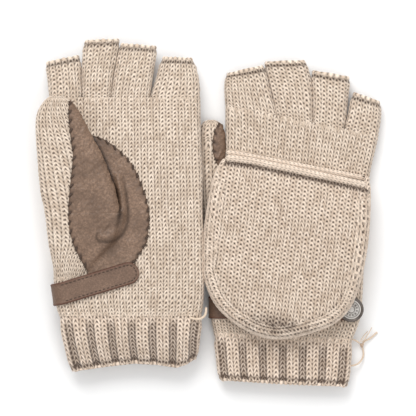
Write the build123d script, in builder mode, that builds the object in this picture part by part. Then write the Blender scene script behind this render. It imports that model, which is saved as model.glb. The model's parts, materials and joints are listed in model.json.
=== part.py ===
from build123d import *
import math
import os

os.makedirs("parts", exist_ok=True)

# A pair of knitted convertible mittens, lying flat. All lengths are in millimetres.
# World frame: +Z up, +Y towards the fingertips, origin under the middle of the pair.
# The left-hand mitten lies palm up on its folded flip-top; the right-hand one lies
# back up, with its flip-top folded back over the hand.

# ---- driving dimensions -------------------------------------------------------------
HAND_THICK = 10.0        # palm surface to back surface of the empty hand
KNIT = 1.8               # one layer of knitting
FINGER_THICK = 9.8
FINGER_KNIT = 1.6
CUFF_THICK = 11.0
CUFF_KNIT = 2.0
CORNER = 0.46            # corner radius of a knitted tube, as a share of its thickness

LEATHER = 1.0
STRAP_WIDTH = 15.0
STRAP_THICK = 1.6
LAYER_GAP = 0.2          # air between layers that lie on each other
STRAP_SLOPE = 15.8       # degrees that the strap climbs across the palm
STRAP_REACH = 54.0       # fold at the thumb edge to the middle of the rounded end

FLIP_LAYER = 2.0         # one layer of the flip-top pocket
FLIP_GAP = 5.6           # inside height of the folded pocket
FLIP_CLEAR = 0.3         # pocket above the back of the hand at the hinge line
FLIP_PITCH = 2.7         # degrees that strap and snap hold the folded pocket off the hand
HEM_WIDTH = 3.0
HEM_THICK = 2.8
EDGE_ROUND = 2.6         # rounding of the pocket's outer edge
POCKET_DEPTH = FLIP_LAYER / 2 + FLIP_GAP + FLIP_LAYER    # hinge axis to the outer face
SEAM_RADIUS = 0.4        # yarn that sews the flip-top to the hand
SEAM_DEPTH = 1.0

CAP_RADIUS = 8.5
CAP_FACE_RADIUS = 6.65
CAP_THICK = 2.0
STUD_RADIUS = 2.3
SOCKET_RADIUS = 5.4

WHIP = (3.0, 0.9, 0.6)   # length, width and height of one whip stitch
WHIP_PITCH = 6.0         # spacing of the whip stitches round the leather
TOP_STITCH = (2.0, 0.5, 0.3)     # the same sizes for the stitches along the strap
STITCH_INSET = 1.5       # strap's edge to its line of stitches
YARN_RADIUS = 0.6
KNOT_RADIUS = 1.5

BACK = HAND_THICK
HINGE_DEPTH = BACK + FLIP_CLEAR + FLIP_LAYER / 2     # palm surface to hinge axis
STRAP_TOP = BACK + LAYER_GAP + STRAP_THICK           # palm surface to strap's outer face
MID = HAND_THICK / 2
FAR = 20.0               # reaches past everything that a cut has to go through


def export(piece, name):
    """Labels one finished piece and writes it."""
    piece.part.label = name
    export_step(piece.part, f"parts/{name}.step")


class Mitten:
    """One mitten: the plane of its palm surface, and which way its back faces.

    Heights are measured from the palm surface towards the back of the hand; up is +1
    where the back faces up and -1 where the palm does.
    """

    def __init__(self, name, up, palm, hinge, hinge_turn, flip_normal):
        self.name = name
        self.up = up
        self.palm = palm
        turn = math.radians(hinge_turn)
        along = palm.x_dir * math.cos(turn) - palm.y_dir * math.sin(turn)
        self.flip = Plane(
            origin=self.point(hinge[0], hinge[1], HINGE_DEPTH),
            x_dir=along,
            z_dir=flip_normal,
        )

    def point(self, x, y, height):
        return self.palm.from_local_coords(Vector(x, y, self.up * height))

    def level(self, height):
        """The plane at this height over the palm surface; its own z points up."""
        return self.palm.offset(self.up * height)

    def flip_level(self, height):
        """The plane this far from the hinge axis, on the side away from the hand."""
        return self.flip.offset(self.up * height)


def cross_section(mitten, section, inset=0.0):
    """Draws one upright rounded cross-section of a knitted tube.

    section holds (x, y) of the left edge, (x, y) of the right edge, the height of the
    middle over the palm surface, and the thickness.
    """
    left, right, middle, thick = section
    start = mitten.point(*left, middle)
    end = mitten.point(*right, middle)
    across = end - start
    plane = Plane(
        origin=(start + end) * 0.5,
        x_dir=across,
        z_dir=mitten.palm.z_dir.cross(across) * -1,
    )
    height = thick - 2 * inset
    with BuildSketch(plane) as drawn:
        RectangleRounded(across.length - 2 * inset, height, height * CORNER)
    return drawn.sketch


def cross_sections(mitten, sections, inset=0.0):
    return [cross_section(mitten, section, inset) for section in sections]


def make_tube(mitten, node, sections, wall, closed=False):
    """A tube of knitting through its cross-sections; closed ends it in a fingertip."""
    with BuildPart() as tube:
        loft(cross_sections(mitten, sections), ruled=True)
        inner = sections[1:] if closed else sections
        loft(cross_sections(mitten, inner, wall), ruled=True, mode=Mode.SUBTRACT)
    export(tube, f"{mitten.name}_{node}")


# ---- hand, finger stalls, thumb and cuff ---------------------------------------------


def make_hand(m, sections, gusset, seam_span):
    # The thumb's way in runs from the gusset through the wall of the hand.
    reach = GUSSET_REACH[m.name]
    way_in = [(a, b, middle + reach / 2, thick + reach) for a, b, middle, thick in gusset]
    with BuildPart() as hand:
        loft(cross_sections(m, sections), ruled=True)
        loft(cross_sections(m, gusset), ruled=True)
        loft(cross_sections(m, sections, KNIT), ruled=True, mode=Mode.SUBTRACT)
        loft(cross_sections(m, way_in, KNIT), ruled=True, mode=Mode.SUBTRACT)
        # A groove in the back holds the yarn that sews the flip-top on.
        groove = Plane(m.point(*HINGE[m.name], BACK), x_dir=m.flip.x_dir, z_dir=m.palm.z_dir)
        with BuildSketch(groove.offset(-m.up * SEAM_DEPTH)):
            with Locations((sum(seam_span) / 2, 0)):
                Rectangle(seam_span[1] - seam_span[0] + 2, 2 * SEAM_RADIUS + 0.3)
        extrude(amount=m.up * (SEAM_DEPTH + 1), mode=Mode.SUBTRACT)
    export(hand, f"{m.name}_hand_body")


def make_seam(m, span):
    with BuildPart() as seam:
        start = m.point(*HINGE[m.name], BACK - SEAM_DEPTH / 2) + m.flip.x_dir * span[0]
        with BuildSketch(Plane(origin=start, z_dir=m.flip.x_dir)):
            Circle(SEAM_RADIUS)
        extrude(amount=span[1] - span[0])
    export(seam, f"{m.name}_flip_seam_yarn")


GUSSET_REACH = {"left": 5.0, "right": 0.0}

HINGE = {"left": (-54.0, 49.6), "right": (60.5, 29.9)}
LEFT_PITCH = math.radians(FLIP_PITCH)

# The left mitten's flip-top lies flat on the table and its hand slopes down to the
# hinge; the right mitten's hand lies flat on its strap.
left_normal = Vector(0, math.sin(LEFT_PITCH), math.cos(LEFT_PITCH))
left_palm_height = POCKET_DEPTH + HINGE_DEPTH * math.cos(LEFT_PITCH)
left_palm_height += (HINGE["left"][1] + HINGE_DEPTH * math.sin(LEFT_PITCH)) * math.tan(LEFT_PITCH)
left = Mitten(
    "left",
    -1,
    Plane(origin=(0, 0, left_palm_height), x_dir=(1, 0, 0), z_dir=left_normal),
    HINGE["left"],
    0,
    Vector(0, 0, 1),
)

RIGHT_PALM_HEIGHT = LAYER_GAP + STRAP_THICK
RIGHT_TURN = 7.0
right_turn = math.radians(RIGHT_TURN)
right_pitch = math.radians(FLIP_PITCH)
right = Mitten(
    "right",
    1,
    Plane(origin=(0, 0, RIGHT_PALM_HEIGHT), x_dir=(1, 0, 0), z_dir=(0, 0, 1)),
    HINGE["right"],
    RIGHT_TURN,
    Vector(
        math.sin(right_pitch) * math.sin(right_turn),
        math.sin(right_pitch) * math.cos(right_turn),
        math.cos(right_pitch),
    ),
)

DROOP = 0.014            # fingers of the left mitten fall this much per millimetre

left_hand = [
    ((-101.3, -70.7), (-5.6, -70.7), MID, HAND_THICK),
    ((-104.5, -56.0), (-4.6, -56.0), MID, HAND_THICK),
    ((-105.5, -26.0), (-5.4, -26.0), MID, HAND_THICK),
    ((-107.5, 8.0), (-5.4, 8.0), MID, HAND_THICK),
    ((-107.8, 49.6), (-6.4, 49.6), MID, HAND_THICK),
    ((-108.0, 78.0), (-6.8, 78.0), MID + DROOP * 28.4, HAND_THICK),
]
right_hand = [
    ((4.1, -83.0), (96.9, -88.0), MID, HAND_THICK),
    ((1.4, -66.0), (103.3, -68.0), MID, HAND_THICK),
    ((3.0, -20.0), (105.5, -21.0), MID, HAND_THICK),
    ((11.2, 3.0), (107.0, -6.0), MID, HAND_THICK),
    ((11.4, 37.4), (108.0, 21.8), MID, HAND_THICK),
    ((11.6, 72.1), (115.6, 52.4), MID, HAND_THICK),
]
left_gusset = [
    ((-110.8, -1.4), (-62.4, -1.4), -4.0, 10.0),
    ((-108.0, -20.0), (-68.0, -20.0), -2.6, 7.8),
    ((-104.0, -34.0), (-86.0, -34.0), -0.6, 5.0),
]
right_gusset = [
    ((-4.2, 0.0), (14.0, 0.0), MID, 9.6),
    ((-2.4, -14.0), (14.0, -14.0), MID, 9.6),
    ((3.6, -42.0), (14.0, -42.0), MID, 9.0),
]
LEFT_DROP = DROOP * 54.0
left_fingers = {
    "index_stall": [
        ((-107.9, 78.1), (-86.6, 78.1), MID + DROOP * 28.4, FINGER_THICK),
        ((-111.5, 100.6), (-87.7, 106.1), MID + LEFT_DROP, FINGER_THICK - 0.6),
    ],
    "middle_stall": [
        ((-86.2, 78.1), (-66.8, 78.1), MID + DROOP * 28.4, FINGER_THICK),
        ((-85.2, 115.9), (-60.0, 117.0), MID + DROOP * 66.9, FINGER_THICK - 0.6),
    ],
    "ring_stall": [
        ((-66.4, 78.1), (-40.3, 78.1), MID + DROOP * 28.4, FINGER_THICK),
        ((-59.2, 113.9), (-34.9, 111.9), MID + DROOP * 63.0, FINGER_THICK - 0.6),
    ],
    "little_stall": [
        ((-39.9, 78.1), (-6.9, 78.1), MID + DROOP * 28.4, FINGER_THICK),
        ((-32.6, 104.7), (-10.2, 103.7), MID + LEFT_DROP, FINGER_THICK - 0.6),
    ],
}


def right_root(x):
    """A point on the right mitten's finger root line."""
    return (x + 0.02, 72.2 - (x - 11.6) * (72.1 - 52.4) / (115.6 - 11.6))


right_fingers = {
    "index_stall": [
        (right_root(11.8), right_root(46.0), MID, FINGER_THICK),
        ((11.3, 93.2), (37.2, 99.2), MID, FINGER_THICK - 0.6),
    ],
    "middle_stall": [
        (right_root(46.4), right_root(70.4), MID, FINGER_THICK),
        ((38.0, 101.2), (68.6, 101.4), MID, FINGER_THICK - 0.6),
    ],
    "ring_stall": [
        (right_root(70.8), right_root(92.2), MID, FINGER_THICK),
        ((69.4, 95.4), (95.9, 91.0), MID, FINGER_THICK - 0.6),
    ],
    "little_stall": [
        (right_root(92.6), right_root(115.4), MID, FINGER_THICK),
        ((97.0, 81.0), (116.8, 73.9), MID, FINGER_THICK - 0.6),
    ],
}

# The left thumb lies over the palm and rises towards its tip, so that the flip-top
# can close over the fingers beneath it. The right thumb lies beside the hand.
THUMB_RISE = 0.05
THUMB_THICK = 8.8


def left_thumb_section(x_left, x_right, y, thick):
    top = 9.2 + (y + 1.4) * THUMB_RISE
    return ((x_left, y), (x_right, y), -(top - thick / 2), thick)


left_thumb = [
    left_thumb_section(-108.5, -96.5, 76.8, 4.5),
    left_thumb_section(-115.6, -90.4, 69.4, 7.6),
    left_thumb_section(-116.0, -75.6, 42.2, THUMB_THICK),
    left_thumb_section(-114.0, -64.6, 15.0, THUMB_THICK),
    left_thumb_section(-110.8, -62.4, -1.3, 9.0),
]
right_thumb = [
    ((-2.0, 62.5), (6.0, 62.5), MID, 4.5),
    ((-6.0, 56.0), (9.4, 56.0), MID, 8.8),
    ((-6.0, 42.0), (10.2, 42.0), MID, 9.2),
    ((-4.2, 0.1), (9.9, 0.1), MID, 9.4),
]

left_cuff = [
    ((-101.0, -70.8), (-5.9, -70.8), MID, CUFF_THICK - 1.2),
    ((-97.5, -88.0), (-7.4, -86.0), MID + 4.0, CUFF_THICK),
    ((-92.8, -107.2), (-8.8, -101.0), MID + 12.6, CUFF_THICK),
]
right_cuff = [
    ((4.2, -83.1), (96.8, -88.1), MID, CUFF_THICK - 1.2),
    ((7.4, -113.8), (94.0, -118.2), MID - 0.5, CUFF_THICK),
]

SEAM_SPAN = {"left": (-48.0, 44.0), "right": (-44.0, 42.0)}

for mitten, hand, gusset, fingers, thumb, cuff in (
    (left, left_hand, left_gusset, left_fingers, left_thumb, left_cuff),
    (right, right_hand, right_gusset, right_fingers, right_thumb, right_cuff),
):
    make_hand(mitten, hand, gusset, SEAM_SPAN[mitten.name])
    make_seam(mitten, SEAM_SPAN[mitten.name])
    for node, sections in fingers.items():
        make_tube(mitten, node, sections, FINGER_KNIT)
    make_tube(mitten, "thumb_stall", thumb, FINGER_KNIT, closed=True)
    make_tube(mitten, "ribbed_cuff", cuff, CUFF_KNIT)

# ---- leather on palm and thumb -------------------------------------------------------


def leather_on_palm(m, points, curve, gusset_covered):
    """The hide piece on the palm: flat, and wrapped over the gusset where it has to be.

    points are the straight part of its outline, curve the rounded edge that closes it.
    """
    away = -m.up
    gusset = GUSSETS[m.name]
    with BuildPart() as patch:
        with BuildSketch(m.level(0)):
            with Locations((points[0][0], points[0][1])):
                Rectangle(8 * FAR, 8 * FAR)
        extrude(amount=away * LEATHER)
        if gusset_covered:
            loft(cross_sections(m, gusset, -LEATHER), ruled=True)
        with BuildSketch(m.level(0)):
            with BuildLine():
                Polyline(curve[-1], *points, curve[0])
                Spline(*curve)
            make_face()
        extrude(amount=away * FAR, mode=Mode.INTERSECT)
        loft(cross_sections(m, gusset), ruled=True, mode=Mode.SUBTRACT)
    export(patch, f"{m.name}_palm_leather")


def leather_on_thumb(m, thumb, points, start):
    """The hide on the thumb's palm side, a shell over the knitted stall."""
    away = -m.up
    with BuildPart() as patch:
        loft(cross_sections(m, thumb[1:], -LEATHER), ruled=True)
        with BuildSketch(m.level(start)):
            with BuildLine():
                Polyline(*points, close=True)
            make_face()
        extrude(amount=away * FAR, mode=Mode.INTERSECT)
        loft(cross_sections(m, thumb), ruled=True, mode=Mode.SUBTRACT)
    export(patch, f"{m.name}_thumb_leather")


def stitches_along(m, node, plane, runs, size, pitch, turn):
    """Equal thread stitches along curves that lie in one plane, turned to the curve."""
    with BuildPart() as thread:
        for run in runs:
            with BuildLine(mode=Mode.PRIVATE):
                edge = Spline(*run) if len(run) > 2 else Line(*run)
            count = int(edge.length / pitch)
            for index in range(count):
                spot = (index + 0.5) / count
                at = edge @ spot
                way = edge % spot
                angle = math.degrees(math.atan2(way.Y, way.X)) + turn
                with BuildSketch(plane):
                    with Locations(Location((at.X, at.Y, 0), angle)):
                        Rectangle(size[0], size[1])
                extrude(amount=-m.up * size[2])
    export(thread, f"{m.name}_{node}")
    return thread.part


PALM_CURVE = [(-50.6, -32.6), (-42.2, -20.0), (-40.6, -3.0), (-43.2, 13.0), (-50.0, 29.0),
              (-63.5, 44.3), (-78.2, 51.4)]
PALM_EDGES = {
    "left": [(-76.0, 44.0), (-64.0, 15.2), (-61.8, -1.5), (-94.9, -1.5), (-93.6, -15.6),
             (-89.8, -26.5), (-82.4, -41.4)],
    "right": [(14.0, 4.0), (12.5, -0.4), (4.5, -2.0), (5.5, -18.0), (12.0, -37.0),
              (24.0, -48.2)],
}
RIGHT_SHIFT = (106.5, -8.0)     # from the left mitten's palm to the right one's
right_curve = [(x + RIGHT_SHIFT[0], y + RIGHT_SHIFT[1]) for x, y in PALM_CURVE]
GUSSETS = {"left": left_gusset, "right": right_gusset}

leather_on_palm(left, PALM_EDGES["left"], PALM_CURVE, True)
leather_on_palm(right, PALM_EDGES["right"], right_curve, False)
LEFT_WHIP_LINE = [(-94.0, 73.0), (-94.4, 61.0), (-92.2, 40.0), (-93.4, 20.0), (-94.9, -0.9)]
leather_on_thumb(
    left,
    left_thumb,
    LEFT_WHIP_LINE[::-1] + [(-86.0, 73.0), (-73.8, 42.2), (-62.8, 15.0), (-60.6, -0.9)],
    -7.2,
)
leather_on_thumb(
    right,
    right_thumb,
    [(2.0, 55.0), (9.9, 55.0), (9.9, 0.4), (2.0, 0.4)],
    MID,
)
ABOVE = LEATHER + 0.1
thumb_face = Plane(
    origin=left.point(0, -1.4, -(9.2 + ABOVE)),
    x_dir=left.palm.x_dir,
    z_dir=left.palm.z_dir - left.palm.y_dir * THUMB_RISE,
)
stitches_along(left, "palm_whip_stitches", left.level(-ABOVE), [PALM_CURVE], WHIP, WHIP_PITCH, 70)
stitches_along(
    left,
    "thumb_whip_stitches",
    thumb_face,
    [[(x, y + 1.4) for x, y in LEFT_WHIP_LINE]],
    WHIP,
    WHIP_PITCH,
    -60,
)
stitches_along(
    right, "palm_whip_stitches", right.level(-ABOVE), [right_curve], WHIP, WHIP_PITCH, 70
)
stitches_along(
    right,
    "thumb_whip_stitches",
    right.level(-ABOVE + 0.3),
    [[(2.0, 54.0), (2.0, 2.0)]],
    WHIP,
    WHIP_PITCH,
    -60,
)

# ---- strap and snap --------------------------------------------------------------------

WRAP_INNER = MID + LAYER_GAP
WRAP_OUTER = WRAP_INNER + STRAP_THICK
WRAP_LEG = 3.0           # straight run of the strap past its fold, on the palm side
TAB_START = 9.0          # fold's centre to the line where the free tab swings
NOSE = STRAP_THICK / 2
FOLD = {"left": (-106.6, -56.3), "right": (-0.5, -65.0)}
FOLD_TURN = {"left": 8.1, "right": 0.0}     # degrees the strap climbs where it folds
SNAP = {"left": (-12.2, -57.0), "right": (96.6, -66.2)}


def unit(degrees):
    return Vector(math.cos(math.radians(degrees)), math.sin(math.radians(degrees)))


def make_strap(m):
    fold = Vector(*FOLD[m.name])
    inward = unit(FOLD_TURN[m.name])
    middle = fold + inward * WRAP_OUTER
    climb = unit(STRAP_SLOPE)
    round_end = fold + climb * STRAP_REACH
    swing = middle + inward * TAB_START
    snap = Vector(*SNAP[m.name])
    tab_way = (snap - swing).normalized()

    def on_hand(flat, height):
        return m.point(flat.X, flat.Y, height)

    # The stretch that is sewn to the palm and folded round the edge of the hand.
    across = m.palm.x_dir * inward.X + m.palm.y_dir * inward.Y
    side = m.palm.y_dir * inward.X - m.palm.x_dir * inward.Y
    skew = abs(inward.X * tab_way.Y - inward.Y * tab_way.X) * STRAP_WIDTH / 2
    leg = TAB_START - NOSE - 0.25 - skew
    profile = Plane(
        origin=on_hand(middle, MID) + side * (STRAP_WIDTH / 2),
        x_dir=across,
        z_dir=side * -1,
    )
    # In this profile plane +y points from the middle of the hand to one surface.
    back_sign = 1 if profile.y_dir.dot(m.palm.z_dir * m.up) > 0 else -1
    centre_line = (WRAP_INNER + WRAP_OUTER) / 2
    with BuildPart() as anchor:
        with BuildSketch(profile):
            Circle(WRAP_OUTER)
            Circle(WRAP_INNER, mode=Mode.SUBTRACT)
            with Locations((WRAP_OUTER, 0)):
                Rectangle(2 * WRAP_OUTER, 3 * WRAP_OUTER, mode=Mode.SUBTRACT)
            with Locations((leg / 2, back_sign * centre_line)):
                Rectangle(leg, STRAP_THICK)
            with Locations((WRAP_LEG / 2, -back_sign * centre_line)):
                Rectangle(WRAP_LEG, STRAP_THICK)
        extrude(amount=STRAP_WIDTH)
        stretch = round_end - middle
        turn = math.degrees(math.atan2(stretch.Y, stretch.X))
        with BuildSketch(m.level(-LAYER_GAP)):
            with Locations(Location(((middle.X + round_end.X) / 2, (middle.Y + round_end.Y) / 2), turn)):
                Rectangle(stretch.length, STRAP_WIDTH)
            with Locations((round_end.X, round_end.Y)):
                Circle(STRAP_WIDTH / 2)
        extrude(amount=-m.up * STRAP_THICK)
    # Its stitches are pulled into the leather, flush with the face.
    edge = STRAP_WIDTH / 2 - STITCH_INSET
    normal = Vector(-math.sin(math.radians(turn)), math.cos(math.radians(turn)))
    start = middle + stretch.normalized() * WRAP_LEG
    runs = [
        [tuple(start + normal * (edge * way))[:2], tuple(round_end + normal * (edge * way))[:2]]
        for way in (-1, 1)
    ]
    sunk = m.level(-(LAYER_GAP + STRAP_THICK - TOP_STITCH[2]))
    thread = stitches_along(m, "strap_stitches", sunk, runs, TOP_STITCH, TOP_STITCH[0] * 1.5, 0)
    with anchor:
        add(thread, mode=Mode.SUBTRACT)
    export(anchor, f"{m.name}_strap")

    # The free tab across the back of the hand, up to the snap.
    tab_turn = math.degrees(math.atan2(tab_way.Y, tab_way.X))
    length = (snap - swing).length
    tab_middle = (snap + swing) * 0.5
    axis_side = m.palm.y_dir * tab_way.X - m.palm.x_dir * tab_way.Y
    with BuildPart() as tab:
        with BuildSketch(m.level(BACK + LAYER_GAP)):
            with Locations(Location((tab_middle.X, tab_middle.Y), tab_turn)):
                Rectangle(length, STRAP_WIDTH)
            with Locations((snap.X, snap.Y)):
                Circle(STRAP_WIDTH / 2)
        extrude(amount=m.up * STRAP_THICK)
        nose = on_hand(swing, BACK + LAYER_GAP + NOSE) - axis_side * (STRAP_WIDTH / 2)
        with BuildSketch(Plane(origin=nose, z_dir=axis_side)):
            Circle(NOSE)
        extrude(amount=STRAP_WIDTH)
        with BuildSketch(m.level(BACK)):
            with Locations((snap.X, snap.Y)):
                Circle(STUD_RADIUS + 0.3)
        extrude(amount=m.up * FAR / 4, mode=Mode.SUBTRACT)
        with BuildSketch(m.level(BACK)):
            with Locations((snap.X, snap.Y)):
                Circle(SOCKET_RADIUS + 0.1)
        extrude(amount=m.up * (LAYER_GAP + STRAP_THICK / 2), mode=Mode.SUBTRACT)
    export(tab, f"{m.name}_strap_tab")
    axis = on_hand(swing, BACK + LAYER_GAP + NOSE)
    print(m.name, "strap axis at", axis, "along", axis_side)

    make_snap(m, snap)


def ring(m, snap, low, high, outer, inner=0.0):
    """A flat ring or disc round the snap's axis between two heights."""
    with BuildSketch(m.level(low)) as drawn:
        with Locations((snap.X, snap.Y)):
            Circle(outer)
            if inner:
                Circle(inner, mode=Mode.SUBTRACT)
    return extrude(drawn.sketch, amount=m.up * (high - low), dir=m.palm.z_dir, mode=Mode.PRIVATE)


def make_snap(m, snap):
    base = BACK + LAYER_GAP
    with BuildPart() as stud:
        add(ring(m, snap, BACK, BACK + 0.5, SOCKET_RADIUS - 0.9))
        add(ring(m, snap, BACK + 0.5, STRAP_TOP - 0.2, STUD_RADIUS))
    export(stud, f"{m.name}_snap_stud")
    with BuildPart() as socket:
        add(ring(m, snap, base + 0.4, base + STRAP_THICK / 2, SOCKET_RADIUS, STUD_RADIUS + 0.3))
    export(socket, f"{m.name}_snap_socket")
    with BuildPart() as rim:
        add(ring(m, snap, STRAP_TOP, STRAP_TOP + CAP_THICK, CAP_RADIUS, CAP_FACE_RADIUS))
        crown = rim.edges().filter_by(GeomType.CIRCLE).group_by(SortBy.RADIUS)[-1]
        fillet(crown.sort_by(Axis.Z)[-1 if m.up > 0 else 0], radius=0.6)
    export(rim, f"{m.name}_snap_rim")
    with BuildPart() as face:
        add(ring(m, snap, STRAP_TOP, STRAP_TOP + CAP_THICK - 0.5, CAP_FACE_RADIUS))
    export(face, f"{m.name}_snap_cap")


# ---- flip-top pocket -------------------------------------------------------------------

POCKET = {
    "left": [(-52.0, 0.0), (-55.4, 20.0), (-55.8, 45.0), (-52.4, 70.0), (-47.6, 88.0),
             (-37.0, 102.5), (-20.0, 112.4), (0.0, 116.0), (20.0, 111.2), (37.5, 99.0),
             (46.5, 79.0), (48.3, 50.0), (47.6, 20.0), (46.0, 0.0)],
    "right": [(-51.0, 0.0), (-56.0, 15.0), (-57.8, 45.0), (-56.3, 68.0), (-53.4, 83.0),
              (-43.0, 100.0), (-24.0, 112.3), (-3.0, 116.8), (20.0, 110.6), (40.0, 98.4),
              (49.4, 79.0), (52.5, 45.0), (50.6, 14.0), (47.6, 0.0)],
}
# How far the mouth's edge lies from the hinge line at its left and right end.
MOUTH = {"left": (4.2, 4.2), "right": (3.8, 11.4)}
# The hem is flush where the pocket rests on the table, and a ridge where it is on top.
HEM_LEVEL = {"left": POCKET_DEPTH - HEM_THICK, "right": POCKET_DEPTH - FLIP_LAYER - 0.1}
RIM_POINTS = 25          # points that carry the rim curve to its inner copy


def pocket_outline(m, shrink=0.0):
    """The pocket's outline on the XY plane, or that outline pulled inwards by shrink."""
    with BuildLine(mode=Mode.PRIVATE):
        rim = Spline(*[(u, -v) for u, v in POCKET[m.name]])
    points = []
    for index in range(RIM_POINTS):
        spot = index / (RIM_POINTS - 1)
        way = rim % spot
        points.append(rim @ spot + Vector(-way.Y, way.X) * shrink)
    with BuildSketch() as drawn:
        with BuildLine():
            Spline(*points)
            Line(points[-1], points[0])
        make_face()
    return drawn.sketch


def make_pocket(m):
    first, last = POCKET[m.name][0][0], POCKET[m.name][-1][0]
    half = FLIP_LAYER / 2
    with BuildPart() as back:
        with BuildSketch(m.flip_level(-half)):
            add(pocket_outline(m))
        extrude(amount=m.up * FLIP_LAYER)
        nose = m.flip.origin + m.flip.x_dir * first
        with BuildSketch(Plane(origin=nose, z_dir=m.flip.x_dir)):
            Circle(half)
        extrude(amount=last - first)
    export(back, f"{m.name}_flip_back_layer")

    near, far = MOUTH[m.name]
    with BuildPart() as front:
        with BuildSketch(m.flip_level(half)):
            add(pocket_outline(m))
        extrude(amount=m.up * (FLIP_GAP + FLIP_LAYER))
        outer = front.faces().sort_by(Axis(m.flip.origin, m.flip.z_dir * m.up))[-1]
        fillet(outer.edges().filter_by(GeomType.BSPLINE), radius=EDGE_ROUND)
        with BuildSketch(m.flip_level(half)):
            add(pocket_outline(m, FLIP_LAYER))
        extrude(amount=m.up * FLIP_GAP, mode=Mode.SUBTRACT)
        with BuildSketch(m.flip_level(-half)):
            with BuildLine():
                Polyline(
                    (-4 * FAR, -near), (first, -near), (last, -far), (4 * FAR, -far),
                    (4 * FAR, FAR), (-4 * FAR, FAR), close=True,
                )
            make_face()
        extrude(amount=m.up * FAR, mode=Mode.SUBTRACT)
    export(front, f"{m.name}_flip_front_layer")

    slant = math.degrees(math.atan2(far - near, last - first))
    length = math.hypot(last - first, far - near) - 3.0
    with BuildPart() as hem:
        with BuildSketch(m.flip_level(HEM_LEVEL[m.name])):
            spot = ((first + last) / 2, -(near + far) / 2 + HEM_WIDTH / 2 + 0.1)
            with Locations(Location(spot, -slant)):
                RectangleRounded(length, HEM_WIDTH, HEM_WIDTH * CORNER)
        extrude(amount=m.up * HEM_THICK)
    export(hem, f"{m.name}_flip_hem")
    print(m.name, "flip axis at", m.flip.origin, "along", m.flip.x_dir, "spreads along", m.flip.z_dir)


for mitten in (left, right):
    make_strap(mitten)
    make_pocket(mitten)

# ---- loose yarn --------------------------------------------------------------------------


def bend_radii(route):
    """The radius of each bend: 0.45 of the shorter run over the tangent of half the turn."""
    radii = []
    for before, corner, after in zip(route, route[1:], route[2:]):
        came, goes = Vector(*corner) - Vector(*before), Vector(*after) - Vector(*corner)
        half_turn = math.radians(came.get_angle(goes)) / 2
        radii.append(0.45 * min(came.length, goes.length) / math.tan(half_turn))
    return radii


def make_yarn(name, route, radius):
    radii = bend_radii(route)
    with BuildPart() as yarn:
        with BuildLine():
            path = FilletPolyline(*route, radius=radii)
        with BuildSketch(Plane(origin=route[0], z_dir=path % 0)):
            Circle(radius)
        sweep()
    print(name, "length", round(path.length, 2), "radii", [round(r, 1) for r in radii],
          "volume", round(yarn.part.volume, 2),
          "section times length", round(math.pi * radius**2 * path.length, 2))
    export(yarn, name)


LEFT_YARN = [(-13.1, -71.2, 27.0), (-8.4, -72.8, 27.2), (-4.2, -71.6, 26.0),
             (-1.8, -68.6, 24.2), (-1.9, -64.8, 22.6)]
TIE_KNOT = (104.4, -91.0, 2.4)
TIE_YARN = [(96.4, -104.9, 5.6), (100.4, -104.6, 4.6), (103.8, -101.9, 3.0),
            (105.7, -98.2, 1.5), (105.4, -94.4, 1.4), TIE_KNOT, (106.6, -87.8, 2.2),
            (110.2, -86.6, 1.2), (112.6, -84.4, 0.9), (115.0, -82.2, 0.9)]
TIE_RETURN = [(97.6, -86.8, 6.0), (100.2, -87.4, 4.2), (102.8, -89.6, 3.4)]
FRAYED_ENDS = {
    "right_yarn_end_short": [(103.4, -88.6, 3.6), (104.6, -85.2, 3.0), (108.5, -81.6, 1.4)],
    "right_yarn_end_long": [(104.5, -88.9, 3.9), (108.1, -85.2, 4.2), (111.2, -78.9, 2.0)],
}

make_yarn("left_loose_yarn", LEFT_YARN, YARN_RADIUS)
make_yarn("right_tie_yarn", TIE_YARN, YARN_RADIUS)
make_yarn("right_tie_return", TIE_RETURN, YARN_RADIUS)
for name, route in FRAYED_ENDS.items():
    make_yarn(name, route, YARN_RADIUS / 2)
with BuildPart() as knot:
    with Locations(TIE_KNOT):
        Sphere(KNOT_RADIUS)
export(knot, "right_tie_knot")
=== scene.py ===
import json
import math

import bmesh
import bpy
import numpy as np
from mathutils.geometry import delaunay_2d_cdt
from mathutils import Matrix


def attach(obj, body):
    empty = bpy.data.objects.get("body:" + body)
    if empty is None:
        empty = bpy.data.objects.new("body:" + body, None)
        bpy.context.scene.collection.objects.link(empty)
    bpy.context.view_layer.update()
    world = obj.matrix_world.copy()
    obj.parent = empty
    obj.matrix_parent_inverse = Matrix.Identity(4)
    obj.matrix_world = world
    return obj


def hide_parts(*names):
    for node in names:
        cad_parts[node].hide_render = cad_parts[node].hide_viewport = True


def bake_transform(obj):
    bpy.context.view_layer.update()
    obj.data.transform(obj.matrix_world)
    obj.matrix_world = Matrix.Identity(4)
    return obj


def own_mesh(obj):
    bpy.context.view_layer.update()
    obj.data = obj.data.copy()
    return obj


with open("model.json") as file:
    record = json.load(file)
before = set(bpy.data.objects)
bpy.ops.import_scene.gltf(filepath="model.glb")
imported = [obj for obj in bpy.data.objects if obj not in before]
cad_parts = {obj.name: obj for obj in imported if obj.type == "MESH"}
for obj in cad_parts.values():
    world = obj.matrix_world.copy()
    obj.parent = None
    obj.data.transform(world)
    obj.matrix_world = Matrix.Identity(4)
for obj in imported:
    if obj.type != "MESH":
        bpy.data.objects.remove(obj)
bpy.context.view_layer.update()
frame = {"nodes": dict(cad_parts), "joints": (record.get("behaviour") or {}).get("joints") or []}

# A pair of knitted convertible mittens: wool with real stitch relief, leather palm and
# thumb pieces, snap straps and a tied-off yarn. Lengths below are in millimetres, in each
# mitten's own frame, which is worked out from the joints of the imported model.

MM = 0.001
joints = {joint["name"]: joint for joint in frame["joints"]}

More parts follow.
